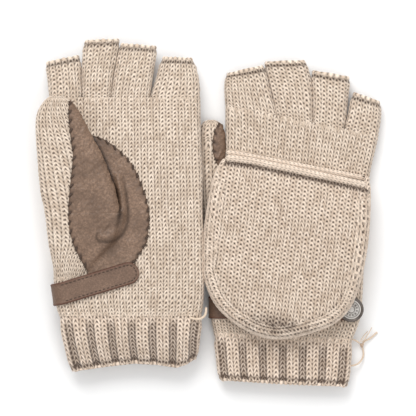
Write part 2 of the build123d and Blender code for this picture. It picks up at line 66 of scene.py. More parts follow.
# ---- knitting --------------------------------------------------------------------------
WALE = 4.3               # width of one column of stitches
COURSE = 2.9             # height of one row
LEAN = 2.1               # rows that a stitch's leg climbs per wale
ACROSS, ALONG = 6, 5     # mesh cells per stitch
RELIEF = 1.15            # height of a stitch
SINK = 0.35              # depth below the plain surface at which that height starts
RIB_PERIOD = 13.4        # two raised columns and the sunken strip beside them
RIB_RAISED = 0.68        # share of that period that is raised
RIB_DEPTH = 0.9          # how far the strip between the ribs is sunk
RIB_FROM = 3.5           # where the ribs begin below the top of the cuff
RIM_PULL, RIM_REACH = 1.2, 5.0      # how far a rim is drawn in, and over what length
ROUND_END = 1.35         # length of a section's round ends, as a share of its half thickness

HAND_THICK = 10.0
TAB_HEIGHT = 11.0        # palm surface to the line where the strap's tab swings
POCKET_DEPTH = 8.6       # hinge plane to the pocket's outer face
LAYER = 2.0              # thickness of a pocket's layer


class Mitten:
    """Places points that are given across, along and through one hand."""

    def __init__(self, side, up):
        self.side, self.up = side, up
        swing = joints[f"{side}_strap_swing"]
        axis = np.array(swing["axis"]) * np.sign(swing["axis"][1])
        self.normal = np.array([0, -axis[2], axis[1]]) / math.hypot(axis[1], axis[2])
        self.along = np.cross(self.normal, [1, 0, 0])
        level = np.dot(np.array(swing["pos_m"]) / MM, self.normal) - up * TAB_HEIGHT
        self.origin = np.array([0, 0, level / self.normal[2]])
        hinge = joints[f"{side}_flip_hinge"]
        self.hinge = np.array(hinge["pos_m"]) / MM
        self.flip_x = np.array(hinge["axis"]) * np.sign(hinge["axis"][0])
        self.away = np.array(joints[f"{side}_flip_spread"]["axis"])
        self.flip_y = np.cross(self.away * up, self.flip_x)

    def at(self, x, y, height):
        """World points in mm; height runs from the palm surface towards the back."""
        x, y, height = (np.asarray(v, float)[..., None] for v in (x, y, height))
        return self.origin + x * [1, 0, 0] + y * self.along + self.up * height * self.normal

    def in_flip(self, u, v, depth):
        """World points in mm; v runs from the hinge to the toe, depth away from the hand."""
        u, v, depth = (np.asarray(w, float)[..., None] for w in (u, v, depth))
        return self.hinge + u * self.flip_x - v * self.flip_y + depth * self.away


left, right = Mitten("left", -1), Mitten("right", 1)


def unit(vectors):
    """The same directions, each of length 1."""
    return vectors / np.maximum(np.linalg.norm(vectors, axis=-1, keepdims=True), 1e-9)


def reach_along(points):
    """The distance along a line of points, at each of them."""
    return np.concatenate([[0], np.cumsum(np.linalg.norm(np.diff(points, axis=0), axis=1))])


def read_along(at, reach, points):
    """The places at given distances along a line of points."""
    return np.stack([np.interp(at, reach, points[:, k]) for k in range(points.shape[1])], -1)


def chance(*keys):
    """A repeatable number from 0 to 1 for whole-number keys."""
    mixed = np.zeros(np.broadcast(*keys).shape, np.uint64)
    for index, key in enumerate(keys):
        step = np.uint64(2654435761 + 974634777 * index)
        whole = np.asarray(key).astype(np.int64).astype(np.uint64)
        mixed = (mixed ^ (whole + step)) * np.uint64(11400714819323198485)
        mixed ^= mixed >> np.uint64(29)
    return (mixed % np.uint64(100003)).astype(float) / 100003


def smooth_noise(a, b, seed):
    """Soft noise, 0 to 1, of two coordinates with features one unit wide."""
    i, j = np.floor(a), np.floor(b)
    p, q = a - i, b - j
    p, q = p * p * (3 - 2 * p), q * q * (3 - 2 * q)
    low = chance(i, j, seed) * (1 - p) + chance(i + 1, j, seed) * p
    high = chance(i, j + 1, seed) * (1 - p) + chance(i + 1, j + 1, seed) * p
    return low * (1 - q) + high * q


def stitches(wale, course, seed):
    """Relief, tint and painted shade in the hollows (0 to 1) of stocking stitch at wale and course numbers.
    """
    wale = wale + 0.14 * (smooth_noise(wale * 0.45, course * 0.3, seed) - 0.5)
    course = course + 0.5 * (smooth_noise(wale * 0.5, course * 0.16, seed + 1) - 0.5)
    x = wale - np.floor(wale) - 0.5
    off = np.abs(x)
    row = course + LEAN * (off - 0.25)
    phase = row - np.floor(row)
    joint = np.minimum(phase, 1 - phase)
    across = np.sqrt(np.clip(1 - (0.96 * (off - 0.25) / 0.25) ** 2, 0, 1))
    along = 0.5 + 0.5 * np.sqrt(np.clip(1 - (2 * phase - 1) ** 2, 0, 1))
    hole = np.exp(-((off / 0.16) ** 2) - (joint / 0.27) ** 2)
    gap = 0.85 * np.exp(-(((0.5 - off) / 0.12) ** 2)) * (0.35 + 0.65 * np.exp(-((joint / 0.3) ** 2)))
    leg = chance(np.floor(wale), np.floor(row), x > 0, seed)
    size = 0.88 + 0.24 * chance(np.floor(wale), np.floor(row), seed + 7)
    tint = 0.7 * leg + 0.3 * smooth_noise(wale * 0.5, row * 0.5, seed + 3)
    # Painted shade: the holes between legs, the gaps between wales and the dips between courses are darkened.
    hollow = np.clip(hole + gap + 0.8 * (1 - along), 0, 1)
    return size * across**0.7 * along - 0.4 * hole, tint, hollow


class Weave:
    """Collects the sheets of one piece, with what its material reads at each point."""

    def __init__(self):
        self.points, self.faces, self.tint, self.hollow = [], [], [], []
        self.count = 0

    def add(self, points, faces, tint=0.5, hollow=0.0):
        points = points.reshape(-1, 3)
        self.points.append(points)
        self.faces.append(faces + self.count)
        for kept, values in ((self.tint, tint), (self.hollow, hollow)):
            kept.append(np.broadcast_to(np.reshape(values, -1), len(points)))
        self.count += len(points)

    def make(self, name, material, weld=0.0):
        mesh = bpy.data.meshes.new(name)
        points = np.concatenate(self.points) * MM
        faces = [list(f) for group in self.faces for f in group.tolist()]
        mesh.from_pydata(points.tolist(), [], faces)
        # The second attribute holds painted shade, and on leather also the darker edge.
        for label, values in (("tint", self.tint), ("hollow", self.hollow)):
            data = mesh.attributes.new(label, "FLOAT", "POINT")
            data.data.foreach_set("value", np.concatenate(values).astype(np.float32))
        if weld:
            work = bmesh.new()
            work.from_mesh(mesh)
            bmesh.ops.remove_doubles(work, verts=work.verts, dist=weld * MM)
            bmesh.ops.dissolve_degenerate(work, edges=work.edges, dist=weld * MM)
            work.to_mesh(mesh)
            work.free()
        mesh.validate()
        mesh.polygons.foreach_set("use_smooth", [True] * len(mesh.polygons))
        mesh.materials.append(material)
        piece = bpy.data.objects.new(name, mesh)
        bpy.context.scene.collection.objects.link(piece)
        return piece


def grid_faces(rows, columns, closed=False, flip=False):
    i = np.arange(rows - 1)[:, None]
    j = np.arange(columns if closed else columns - 1)[None, :]
    near = i * columns + j
    far = i * columns + (j + 1) % columns
    corners = [near, far, far + columns, near + columns]
    return np.stack(corners[::-1] if flip else corners, -1).reshape(-1, 4)


def through(values, at):
    """A smooth curve through rows of values, read at positions given in row numbers."""
    values = np.asarray(values, float)
    slopes = np.gradient(values, axis=0)
    i = np.clip(np.floor(at).astype(int), 0, len(values) - 2)
    t = (at - i)[:, None]
    a, b, da, db = values[i], values[i + 1], slopes[i], slopes[i + 1]
    return (a * (1 + 2 * t) * (1 - t) ** 2 + da * t * (1 - t) ** 2
            + b * t * t * (3 - 2 * t) + db * t * t * (t - 1))


def rows_between(sections, spacing):
    """Sections (x0, y0, x1, y1, middle height, thickness, squareness) at even spacing."""
    table = np.array(sections, float)
    middles = (table[:, 0:2] + table[:, 2:4]) / 2
    reach = reach_along(middles)
    count = max(3, int(round(reach[-1] / spacing)) + 1)
    spots = np.interp(np.linspace(0, reach[-1], count), reach, np.arange(len(table)))
    return through(table, spots), reach[-1]


def section_outline(wide, deep, square):
    """A section's outline: places across and through it, and the distance round it."""
    turn = np.linspace(math.pi, -math.pi, 361)
    c, z = np.cos(turn), np.sin(turn)
    # Only the ends of a wide section are round; its middle is straight.
    flat = max(wide - deep * ROUND_END, 0)
    across = (wide - flat) * np.sign(c) * np.abs(c) ** (2 / square)
    across = across + flat * np.sign(c) * (np.abs(c) > 1e-6)
    depth = deep * np.sign(z) * np.abs(z) ** (2 / square)
    reach = np.concatenate([[0], np.cumsum(np.hypot(np.diff(across), np.diff(depth)))])
    return across, depth, reach


def ring_shape(row, columns, grow=0.0):
    """One cross-section as columns evenly spaced points, and its length all round."""
    x0, y0, x1, y1, middle, thick, square = row
    half = np.array([x1 - x0, y1 - y0]) / 2
    across, depth, reach = section_outline(np.linalg.norm(half) + grow, thick / 2 + grow, square)
    spots = np.linspace(0, reach[-1], columns, endpoint=False)
    s, z = np.interp(spots, reach, across), np.interp(spots, reach, depth)
    way = half / max(np.linalg.norm(half), 1e-6)
    return (x0 + x1) / 2 + way[0] * s, (y0 + y1) / 2 + way[1] * s, middle - z, reach[-1]


def surface_normals(points, closed):
    if closed:
        across = np.roll(points, -1, axis=1) - np.roll(points, 1, axis=1)
    else:
        across = np.gradient(points, axis=1)
    return unit(np.cross(np.gradient(points, axis=0), across))


def tube_points(m, rows, columns, grow=0.0):
    rings = [ring_shape(row, columns, grow) for row in rows]
    xs, ys, hs = (np.array([ring[k] for ring in rings]) for k in range(3))
    return m.at(xs, ys, hs)


def outward(points, normals):
    """Turns a tube's normals so that they point away from its axis."""
    axis = points.mean(axis=1, keepdims=True)
    return normals if np.sum((points - axis) * normals) > 0 else -normals


def count_wales(sections, ribbed=False):
    rows, _ = rows_between(sections, COURSE / ALONG)
    mean = np.mean([ring_shape(row, 8)[3] for row in rows[:: max(1, len(rows) // 6)]])
    return int(round(mean / RIB_PERIOD)) * 4 if ribbed else int(round(mean / WALE))


def wale_at(m, row, wales, x):
    """The number of the wale that passes x on the side that is seen."""
    xs, _, hs, _ = ring_shape(row, 1440)
    seen = (hs > row[4]) if m.up > 0 else (hs < row[4])
    return np.argmin(np.abs(xs - x) + 1e3 * ~seen) / 1440 * wales


def knit_tube(
    m, weave, sections, wall, seed, ribbed=False, closed_end=False, rims=(), phase=0.0, course=0.0,
    climb=1, shape=None,
):
    """A knitted tube: stitch relief outside, a plain face inside, rolled rims."""
    rows, length = rows_between(sections, COURSE / ALONG)
    reach = np.linspace(0, length, len(rows))
    if rims:
        # The rolled rim pulls the end of the tube in a little.
        pull = RIM_PULL * np.clip(1 - (length - reach) / RIM_REACH, 0, 1)[:, None] ** 2
        way = rows[:, 2:4] - rows[:, 0:2]
        way = pull * way / np.linalg.norm(way, axis=1, keepdims=True)
        rows[:, 0:2] += way
        rows[:, 2:4] -= way
    wales = count_wales(sections, ribbed)
    columns = wales * ACROSS
    base = tube_points(m, rows, columns, -SINK)
    normals = outward(base, surface_normals(base, True))
    courses = course + climb * reach[:, None] / COURSE + 0 * np.arange(columns)[None, :]
    wale = np.arange(columns)[None, :] / ACROSS + phase + 0 * courses
    soft = smooth_noise(base[..., 0] * 0.045, base[..., 1] * 0.035, 11) - 0.5
    if ribbed:
        spot = (wale / 4) % 1
        fade = np.clip((reach[:, None] - RIB_FROM) / 5.0, 0, 1)
        raised = spot < RIB_RAISED
        share = np.where(raised, spot / RIB_RAISED * 2, (spot - RIB_RAISED) / (1 - RIB_RAISED))
        height, tint, hollow = stitches(np.floor(wale / 4) * 3 + share + 2 * ~raised, courses, seed)
        swell = np.sqrt(np.clip(1 - (2 * spot / RIB_RAISED - 1) ** 2, 0, 1)) * raised
        lift = RELIEF * height * np.where(raised, 1, 1 - 0.35 * fade) - SINK
        lift = lift + fade * (swell - RIB_DEPTH * ~raised)
        # Painted shade in the sunken strips and along the sides of the raised ribs.
        side = np.clip(np.minimum(spot, RIB_RAISED - spot) / 0.07, 0, 1)
        rib_groove_shade = np.where(raised, 0.28 * (1 - side), 0.25)
        hollow = np.clip(hollow * (1 + 0.2 * fade * ~raised) + fade * rib_groove_shade, 0, 1)
    else:
        height, tint, hollow = stitches(wale, courses, seed)
        lift = RELIEF * height - SINK
    lift = lift + 0.8 * soft
    if rims:
        # Painted shade in a band just below the rolled rim, where the knit also dips.
        below = np.exp(-(((length - reach - 2.3) / 1.1) ** 2))[:, None]
        hollow = np.clip(hollow + 0.4 * below, 0, 1)
        lift = lift - 0.35 * below
    if closed_end:
        lift = lift * (0.35 + 0.65 * np.clip(reach[:, None] / 4.5, 0, 1))
    if shape:
        base = base + shape(base)
    shown = base + normals * lift[..., None]
    weave.add(shown, grid_faces(len(rows), columns, True), tint, hollow)
    step = ACROSS // 2
    inner_rows = rows[::ALONG]
    if len(rows) % ALONG != 1:
        inner_rows = np.concatenate([inner_rows, rows[-1:]])
    inside = tube_points(m, inner_rows, columns // step, -wall - SINK)
    if shape:
        inside = inside + shape(inside)
    # The inside face is painted dark as shade.
    weave.add(inside, grid_faces(len(inner_rows), columns // step, True, flip=True), 0.4, 0.8)
    if closed_end:
        cap = shown[0]
        centre = cap.mean(axis=0, keepdims=True)
        # The end cap is painted a little darker as shade.
        weave.add(np.concatenate([cap, centre]), fan_faces(columns), np.full(columns + 1, 0.5), 0.3)
    for end in rims:
        rolled_rim(m, weave, rows[end].copy(), wales, wall, seed + 20 + end, shape)
    return length


def fan_faces(columns):
    j = np.arange(columns)
    return np.stack([j, (j + 1) % columns, np.full(columns, columns)], -1)


def rolled_rim(m, weave, row, wales, wall, seed, shape=None, radius=1.35):
    """The bound-off edge: a bead of chain stitches round the end of a tube."""
    columns = wales * ACROSS
    centre = tube_points(m, [row], columns, -wall / 2)[0]
    outwards = unit(tube_points(m, [row], columns, -wall / 2 + 1.0)[0] - centre)
    upward = np.cross(unit(np.roll(centre, -1, axis=0) - np.roll(centre, 1, axis=0)), outwards)
    turns = np.linspace(0, 2 * math.pi, 12, endpoint=False)
    spot = np.arange(columns) / ACROSS
    chain = np.abs(np.sin(spot * math.pi))
    points = []
    for turn in turns:
        twist = 0.16 * np.sin(spot * 2 * math.pi + turn)
        reach = (radius * (0.86 + 0.2 * chain + twist))[:, None]
        points.append(centre + outwards * (wall / 2 + 0.4) * math.cos(turn) * reach / radius
                      + upward * radius * math.sin(turn) * reach / radius)
    points = np.array(points).transpose(1, 0, 2)
    points = np.concatenate([points, points[:1]])
    if shape:
        points = points + shape(points)
    tint = chance(np.arange(columns + 1) // ACROSS % wales, seed)[:, None] + 0 * turns[None, :]
    # Painted shade between the beads of the chain.
    dark = np.concatenate([1 - chain, 1 - chain[:1]])[:, None] * 0.7 + 0 * turns[None, :]
    weave.add(points, grid_faces(columns + 1, len(turns), True), tint, dark)


# ---- materials -------------------------------------------------------------------------


def linear(red, green, blue):
    """Linear colour for red, green and blue from 0 to 255."""
    shares = [c / 255 for c in (red, green, blue)]
    return (*(((c + 0.055) / 1.055) ** 2.4 if c > 0.04 else c / 12.92 for c in shares), 1)


class Shader:
    """A node material with short calls for its nodes."""

    def __init__(self, name, roughness, **sockets):
        self.material = bpy.data.materials.new(name)
        self.material.use_nodes = True
        self.tree = self.material.node_tree
        self.surface = self.tree.nodes["Principled BSDF"]
        self.surface.inputs["Roughness"].default_value = roughness
        for socket, value in sockets.items():
            self.surface.inputs[socket.replace("_", " ")].default_value = value

    def node(self, kind, links=None, **settings):
        made = self.tree.nodes.new(kind)
        for name, value in settings.items():
            setattr(made, name, value)
        for socket, value in (links or {}).items():
            if isinstance(value, bpy.types.NodeSocket):
                self.tree.links.new(value, made.inputs[socket])
            else:
                made.inputs[socket].default_value = value
        return made

    def attribute(self, name):
        return self.node("ShaderNodeAttribute", attribute_name=name).outputs["Fac"]

    def place(self):
        return self.node("ShaderNodeTexCoord").outputs["Object"]

    def noise(self, scale, detail=3.0):
        links = {"Vector": self.place(), "Scale": scale, "Detail": detail}
        return self.node("ShaderNodeTexNoise", links).outputs["Fac"]

    def cells(self, scale):
        return self.node("ShaderNodeTexVoronoi", {"Vector": self.place(), "Scale": scale}).outputs["Distance"]

    def mix(self, share, first, second):
        made = self.node("ShaderNodeMix", data_type="RGBA")
        for index, value in ((0, share), (6, first), (7, second)):
            if isinstance(value, bpy.types.NodeSocket):
                self.tree.links.new(value, made.inputs[index])
            else:
                made.inputs[index].default_value = value
        return made.outputs[2]

    def span(self, value, low, high, to_low=0.0, to_high=1.0):
        links = {"Value": value, "From Min": low, "From Max": high, "To Min": to_low, "To Max": to_high}
        return self.node("ShaderNodeMapRange", links).outputs["Result"]

    def colour(self, socket):
        self.tree.links.new(socket, self.surface.inputs["Base Color"])

    def bump(self, height, distance, strength=1.0):
        made = self.node("ShaderNodeBump", {"Height": height, "Distance": distance, "Strength": strength})
        self.tree.links.new(made.outputs["Normal"], self.surface.inputs["Normal"])
        return self


def wool(name, light, middle, deep):
    """Marled wool: each stitch has its own share of brown, and painted shade darkens the hollows."""
    shader = Shader(name, 0.92, Sheen_Weight=0.25, Sheen_Roughness=0.6)
    marl = shader.mix(shader.span(shader.attribute("tint"), 0.15, 0.85), linear(*light), linear(*middle))
    fleck = shader.span(shader.noise(900.0), 0.42, 0.7)
    flecked = shader.mix(shader.span(fleck, 0, 1, 0, 0.45), marl, linear(*middle))
    # Painted shade: the attribute mixes the colour towards deep, the tone of the shade.
    painted_shade_share = shader.span(shader.attribute("hollow"), 0.06, 0.85, 0.0, 0.97)
    shader.colour(shader.mix(painted_shade_share, flecked, linear(*deep)))
    return shader.bump(shader.noise(2600.0, 4.0), 0.0003, 0.5).material


def hide(name, light, dark, grain, edge):
    """Grained leather, with painted shade in its creases and folds, and darker along its edges."""
    shader = Shader(name, 0.52, Specular_IOR_Level=0.4)
    patchy = shader.mix(shader.span(shader.noise(70.0), 0.3, 0.7), linear(*light), linear(*dark))
    pebble = shader.cells(grain)
    deep = [value * 0.8 for value in dark]
    speckle = shader.span(shader.noise(grain * 0.9, 5.0), 0.38, 0.62, 0.0, 0.55)
    mottle = shader.mix(speckle, patchy, linear(*deep))
    pebbled = shader.mix(shader.span(pebble, 0.2, 0.65, 0.0, 0.4), mottle, linear(*deep))
    # The attribute carries painted shade in creases and folds, and the darker edges; both go towards edge.
    rim = shader.span(shader.attribute("hollow"), 0.0, 1.0)
    shader.colour(shader.mix(rim, pebbled, linear(*edge)))
    height = shader.mix(0.5, pebble, shader.noise(grain * 0.6))
    return shader.bump(height, 0.00035, 0.55).material


def thread_material():
    shader = Shader("waxed_thread", 0.6)
    shader.colour(shader.mix(shader.noise(1500.0), linear(84, 64, 50), linear(50, 36, 28)))
    return shader.bump(shader.noise(3000.0), 0.0002).material


def metal(name, light, dark, roughness):
    shader = Shader(name, roughness, Metallic=0.85)
    worn = shader.mix(shader.span(shader.noise(260.0), 0.35, 0.7), linear(*light), linear(*dark))
    # Painted shade in the recesses, read from the attribute, towards a dark grey.
    shader.colour(shader.mix(shader.attribute("hollow"), worn, linear(70, 64, 60)))
    return shader.bump(shader.noise(1200.0), 0.00008, 0.4).material


# The third colour of each wool is the tone of its painted shade.
KNIT = wool("marled_knit", (247, 229, 210), (212, 191, 170), (62, 44, 32))
FLIP_KNIT = wool("marled_flip_knit", (246, 227, 208), (211, 189, 168), (62, 44, 32))
RIB_KNIT = wool("marled_rib", (250, 230, 211), (217, 195, 174), (72, 53, 40))
YARN = wool("loose_yarn", (222, 202, 180), (190, 164, 140), (120, 92, 74))
# The last colour of each leather is the tone of its painted shade and of its darker edges.
HIDE = hide("pebbled_hide", (156, 127, 106), (114, 90, 73), 760.0, (50, 36, 27))
STRAP_HIDE = hide("strap_hide", (142, 114, 95), (112, 87, 71), 900.0, (88, 51, 36))
THREAD = thread_material()
PEWTER = metal("pewter", (214, 210, 205), (182, 177, 171), 0.45)
DARK_METAL = metal("dark_metal", (120, 112, 106), (84, 78, 74), 0.38)


def settle(piece, body, slot, *nodes):
    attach(piece, body)
    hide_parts(*nodes)


# ---- hands, fingers, thumbs, cuffs --------------------------------------------------------
MID = HAND_THICK / 2
SOFT, BOXY = 2.3, 3.0

left_hand = [
    (-101.3, -70.5, -5.6, -70.5, MID, 9.6, BOXY),
    (-104.5, -56.0, -3.6, -56.0, MID, 10, BOXY),
    (-105.8, -26.0, -3.6, -26.0, MID, 10, BOXY),
    (-107.5, 8.0, -4.4, 8.0, MID, 10, BOXY),
    (-107.8, 49.6, -5.8, 49.6, MID, 10, BOXY),
    (-108.2, 78.0, -6.4, 78.0, MID + 0.4, 10, BOXY),
]
right_hand = [
    (4.1, -84.0, 96.9, -89.0, MID, 9.6, BOXY),
    (1.4, -66.0, 103.3, -68.0, MID, 10, BOXY),
    (1.5, -20.0, 105.9, -21.0, MID, 10, BOXY),
    (7.0, 3.0, 107.0, -6.0, MID, 10, BOXY),
    (11.4, 37.4, 109.0, 21.8, MID, 10, BOXY),
    (11.6, 72.1, 115.6, 52.4, MID, 10, BOXY),
]
TUCK = 4.4               # how far a finger's tube starts inside the hand
ROOT_LIFT = 0.4          # how much higher the left fingers' roots lie than the hand's middle


def finger(level, root, halfway, tip):
    """A finger's sections: hidden in the hand, at its edge, halfway and at the rim."""
    x0, y0, x1, y1 = root
    return [
        (x0 + 1, y0 - TUCK, x1 - 1, y1 - TUCK, MID + ROOT_LIFT, 7.4, BOXY),
        (*root, level, 10, BOXY),
        (*halfway, 9.6, SOFT),
        (*tip, 9.0, SOFT),
    ]


left_fingers = {
    name: finger(MID + ROOT_LIFT, (x0, 78.0, x1, 78.0), halfway, tip)
    for name, x0, x1, halfway, tip in (
        ("index", -108.3, -86.5, (-109.6, 90, -86.6, 92, 5.5), (-111.5, 100.9, -87.5, 106.0, 5.8)),
        ("middle", -86.3, -66.7, (-86.4, 95, -64.6, 95, 5.6), (-85.2, 115.9, -60.2, 117.0, 5.9)),
        ("ring", -66.5, -40.2, (-64.4, 95, -37.8, 94, 5.6), (-61.0, 113.9, -34.9, 111.9, 5.9)),
        ("little", -40.0, -6.6, (-36.2, 91, -7.2, 90.5, 5.6), (-32.6, 104.7, -10.2, 103.7, 5.7)),
    )
}
left_thumb = [
    (-106.0, 77.8, -98.0, 77.8, -11.0, 2.5, SOFT),
    (-110.5, 75.0, -94.0, 74.5, -10.6, 6.0, SOFT),
    (-115.6, 66.0, -88.2, 66.0, -8.9, 8.2, SOFT),
    (-116.6, 54.0, -82.0, 54.0, -7.9, 8.8, SOFT),
    (-115.6, 36.0, -72.6, 36.0, -6.7, 8.8, SOFT),
    (-113.8, 15.0, -64.6, 15.0, -5.6, 8.8, SOFT),
    (-110.8, -1.3, -61.6, -1.3, -4.7, 9.0, SOFT),
    (-108.6, -20.0, -66.0, -20.0, -2.6, 8.4, SOFT),
    (-106.0, -34.0, -80.0, -34.0, -0.2, 6.6, SOFT),
    (-103.5, -48.0, -88.0, -48.0, 3.4, 4.6, SOFT),
]


def right_root(x):
    """The right hand's edge under the fingers, which slopes."""
    return x, 72.2 - (x - 11.6) * (72.1 - 52.4) / (115.6 - 11.6)


right_fingers = {
    name: finger(MID, (*right_root(x0), *right_root(x1)), (*halfway, MID), (*tip, MID))
    for name, x0, x1, halfway, tip in (
        ("index", 11.5, 46.1, (10.6, 85.0, 42.0, 84.0), (11.3, 93.2, 38.0, 99.2)),
        ("middle", 46.3, 70.6, (42.0, 84.0, 70.4, 84.0), (37.2, 101.3, 66.4, 102.4)),
        ("ring", 70.8, 92.3, (70.6, 78.0, 94.6, 76.0), (69.4, 95.6, 96.4, 91.0)),
        ("little", 92.5, 115.4, (94.6, 66.0, 117.0, 63.0), (97.4, 81.0, 117.3, 73.8)),
    )
}
right_thumb = [
    (-1.0, 62.6, 4.0, 62.6, MID, 2.5, SOFT),
    (-4.6, 60.0, 7.4, 60.0, MID, 6.4, SOFT),
    (-6.0, 52.0, 9.6, 52.0, MID, 9.0, SOFT),
    (-6.0, 42.0, 10.2, 42.0, MID, 9.2, SOFT),
    (-4.2, 0.1, 10.4, 0.1, MID, 9.4, SOFT),
    (-2.6, -14.0, 14.0, -14.0, MID, 9.4, SOFT),
    (2.0, -44.0, 14.0, -44.0, MID, 8.6, SOFT),
]
left_cuff = [
    (-101.0, -69.0, -5.2, -69.0, MID, 9.4, BOXY),
    (-97.5, -88.0, -7.4, -86.0, MID + 4.0, 10.6, BOXY),
    (-92.8, -107.2, -8.8, -101.0, MID + 12.6, 10.6, BOXY),
]
right_cuff = [
    (4.2, -82.0, 97.2, -86.6, MID + 0.2, 9.4, BOXY),
    (7.4, -113.8, 94.0, -118.2, MID + 0.3, 9.9, BOXY),
]


def arched(points):
    """How the left cuff's lower edge curves, for points in world mm."""
    x, y = points[..., 0], points[..., 1]
    across = [-95.0, -84.0, -68.0, -51.0, -35.0, -22.0, -15.0, -8.0]
    low = np.interp(x, across, [0.0, 0.6, 2.0, 2.9, 0.6, -2.6, -1.0, 4.4])
    share = np.clip((-74.0 - y) / 30.0, 0, 1) ** 1.5
    return np.stack([0 * x, low * share, 0 * x], -1)


for m, hand, fingers, thumb, cuff in (
    (left, left_hand, left_fingers, left_thumb, left_cuff),
    (right, right_hand, right_fingers, right_thumb, right_cuff),
):
    seed = 100 if m is left else 900
    body = f"{m.side}_hand"
    weave = Weave()
    reach = knit_tube(m, weave, hand, 1.8, seed)
    settle(weave.make(f"{m.side}_hand_knit", KNIT), body, "knit", f"{m.side}_hand_body")
    for finger, sections in fingers.items():
        weave = Weave()
        root = sections[1]
        x = (root[0] + root[2]) / 2
        phase = wale_at(m, hand[-1], count_wales(hand), x) - wale_at(m, root, count_wales(sections), x)
        knit_tube(m, weave, sections, 1.6, seed, rims=(-1,), phase=phase, course=(reach - TUCK) / COURSE)
        stall = weave.make(f"{m.side}_{finger}_knit", KNIT)
        settle(stall, body, "knit", f"{m.side}_{finger}_stall")
        # Each finger's stall gets a mesh of its own.
        if finger == "index" and m is left:
            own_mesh(stall)
        else:
            anchor = tuple(m.at(0, 80, -0.5) * MM)
            tuple(m.normal)
            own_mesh(stall)
    weave = Weave()
    knit_tube(m, weave, thumb, 1.6, seed + 301, closed_end=True, climb=-1)
    settle(weave.make(f"{m.side}_thumb_knit", KNIT), body, "knit", f"{m.side}_thumb_stall")
    weave = Weave()
    knit_tube(m, weave, cuff, 2.0, seed + 401, ribbed=True, rims=(-1,), phase=1.2, climb=-1,
              shape=arched if m is left else None)
    settle(weave.make(f"{m.side}_cuff_rib", RIB_KNIT), body, "rib_knit", f"{m.side}_ribbed_cuff")

# ---- flip-top pockets -------------------------------------------------------------------
POCKET = {
    "left": [(-52.0, 0.0), (-55.4, 20.0), (-55.8, 45.0), (-52.4, 70.0), (-47.6, 88.0), (-37.0, 102.5),
             (-20.0, 112.4), (0.0, 116.0), (20.0, 111.2), (37.5, 99.0), (46.5, 79.0), (48.3, 50.0),
             (47.6, 20.0), (46.0, 0.0)],
    "right": [(-51.0, 0.0), (-56.0, 15.0), (-57.8, 45.0), (-56.3, 68.0), (-53.4, 83.0), (-43.0, 100.0),
              (-24.0, 112.3), (-3.0, 116.8), (20.0, 110.6), (40.0, 98.4), (49.4, 79.0), (52.5, 45.0),
              (50.6, 14.0), (47.6, 0.0)],
}
MOUTH = {"left": (3.4, 0.0), "right": (3.2, 0.086)}      # distance from the hinge, and its slope
MOUTH_DEPTH = 5.4        # outer face of the front layer at the mouth, where it lies flatter
MOUTH_RISE = 26.0        # distance over which it rises to its full depth
EDGE_ROUND, EDGE_ARC = 6.0, 5.2
EDGE_BEAD = 1.7          # the outermost wale, rounded
BAND = 8.4               # width of the border that follows the outline round the toe


def outline_of(side, count=241):
    points = np.array(POCKET[side])
    dense = through(points, np.linspace(0, len(points) - 1, count))
    dense[:, 1] = np.maximum(dense[:, 1], 0)
    return dense


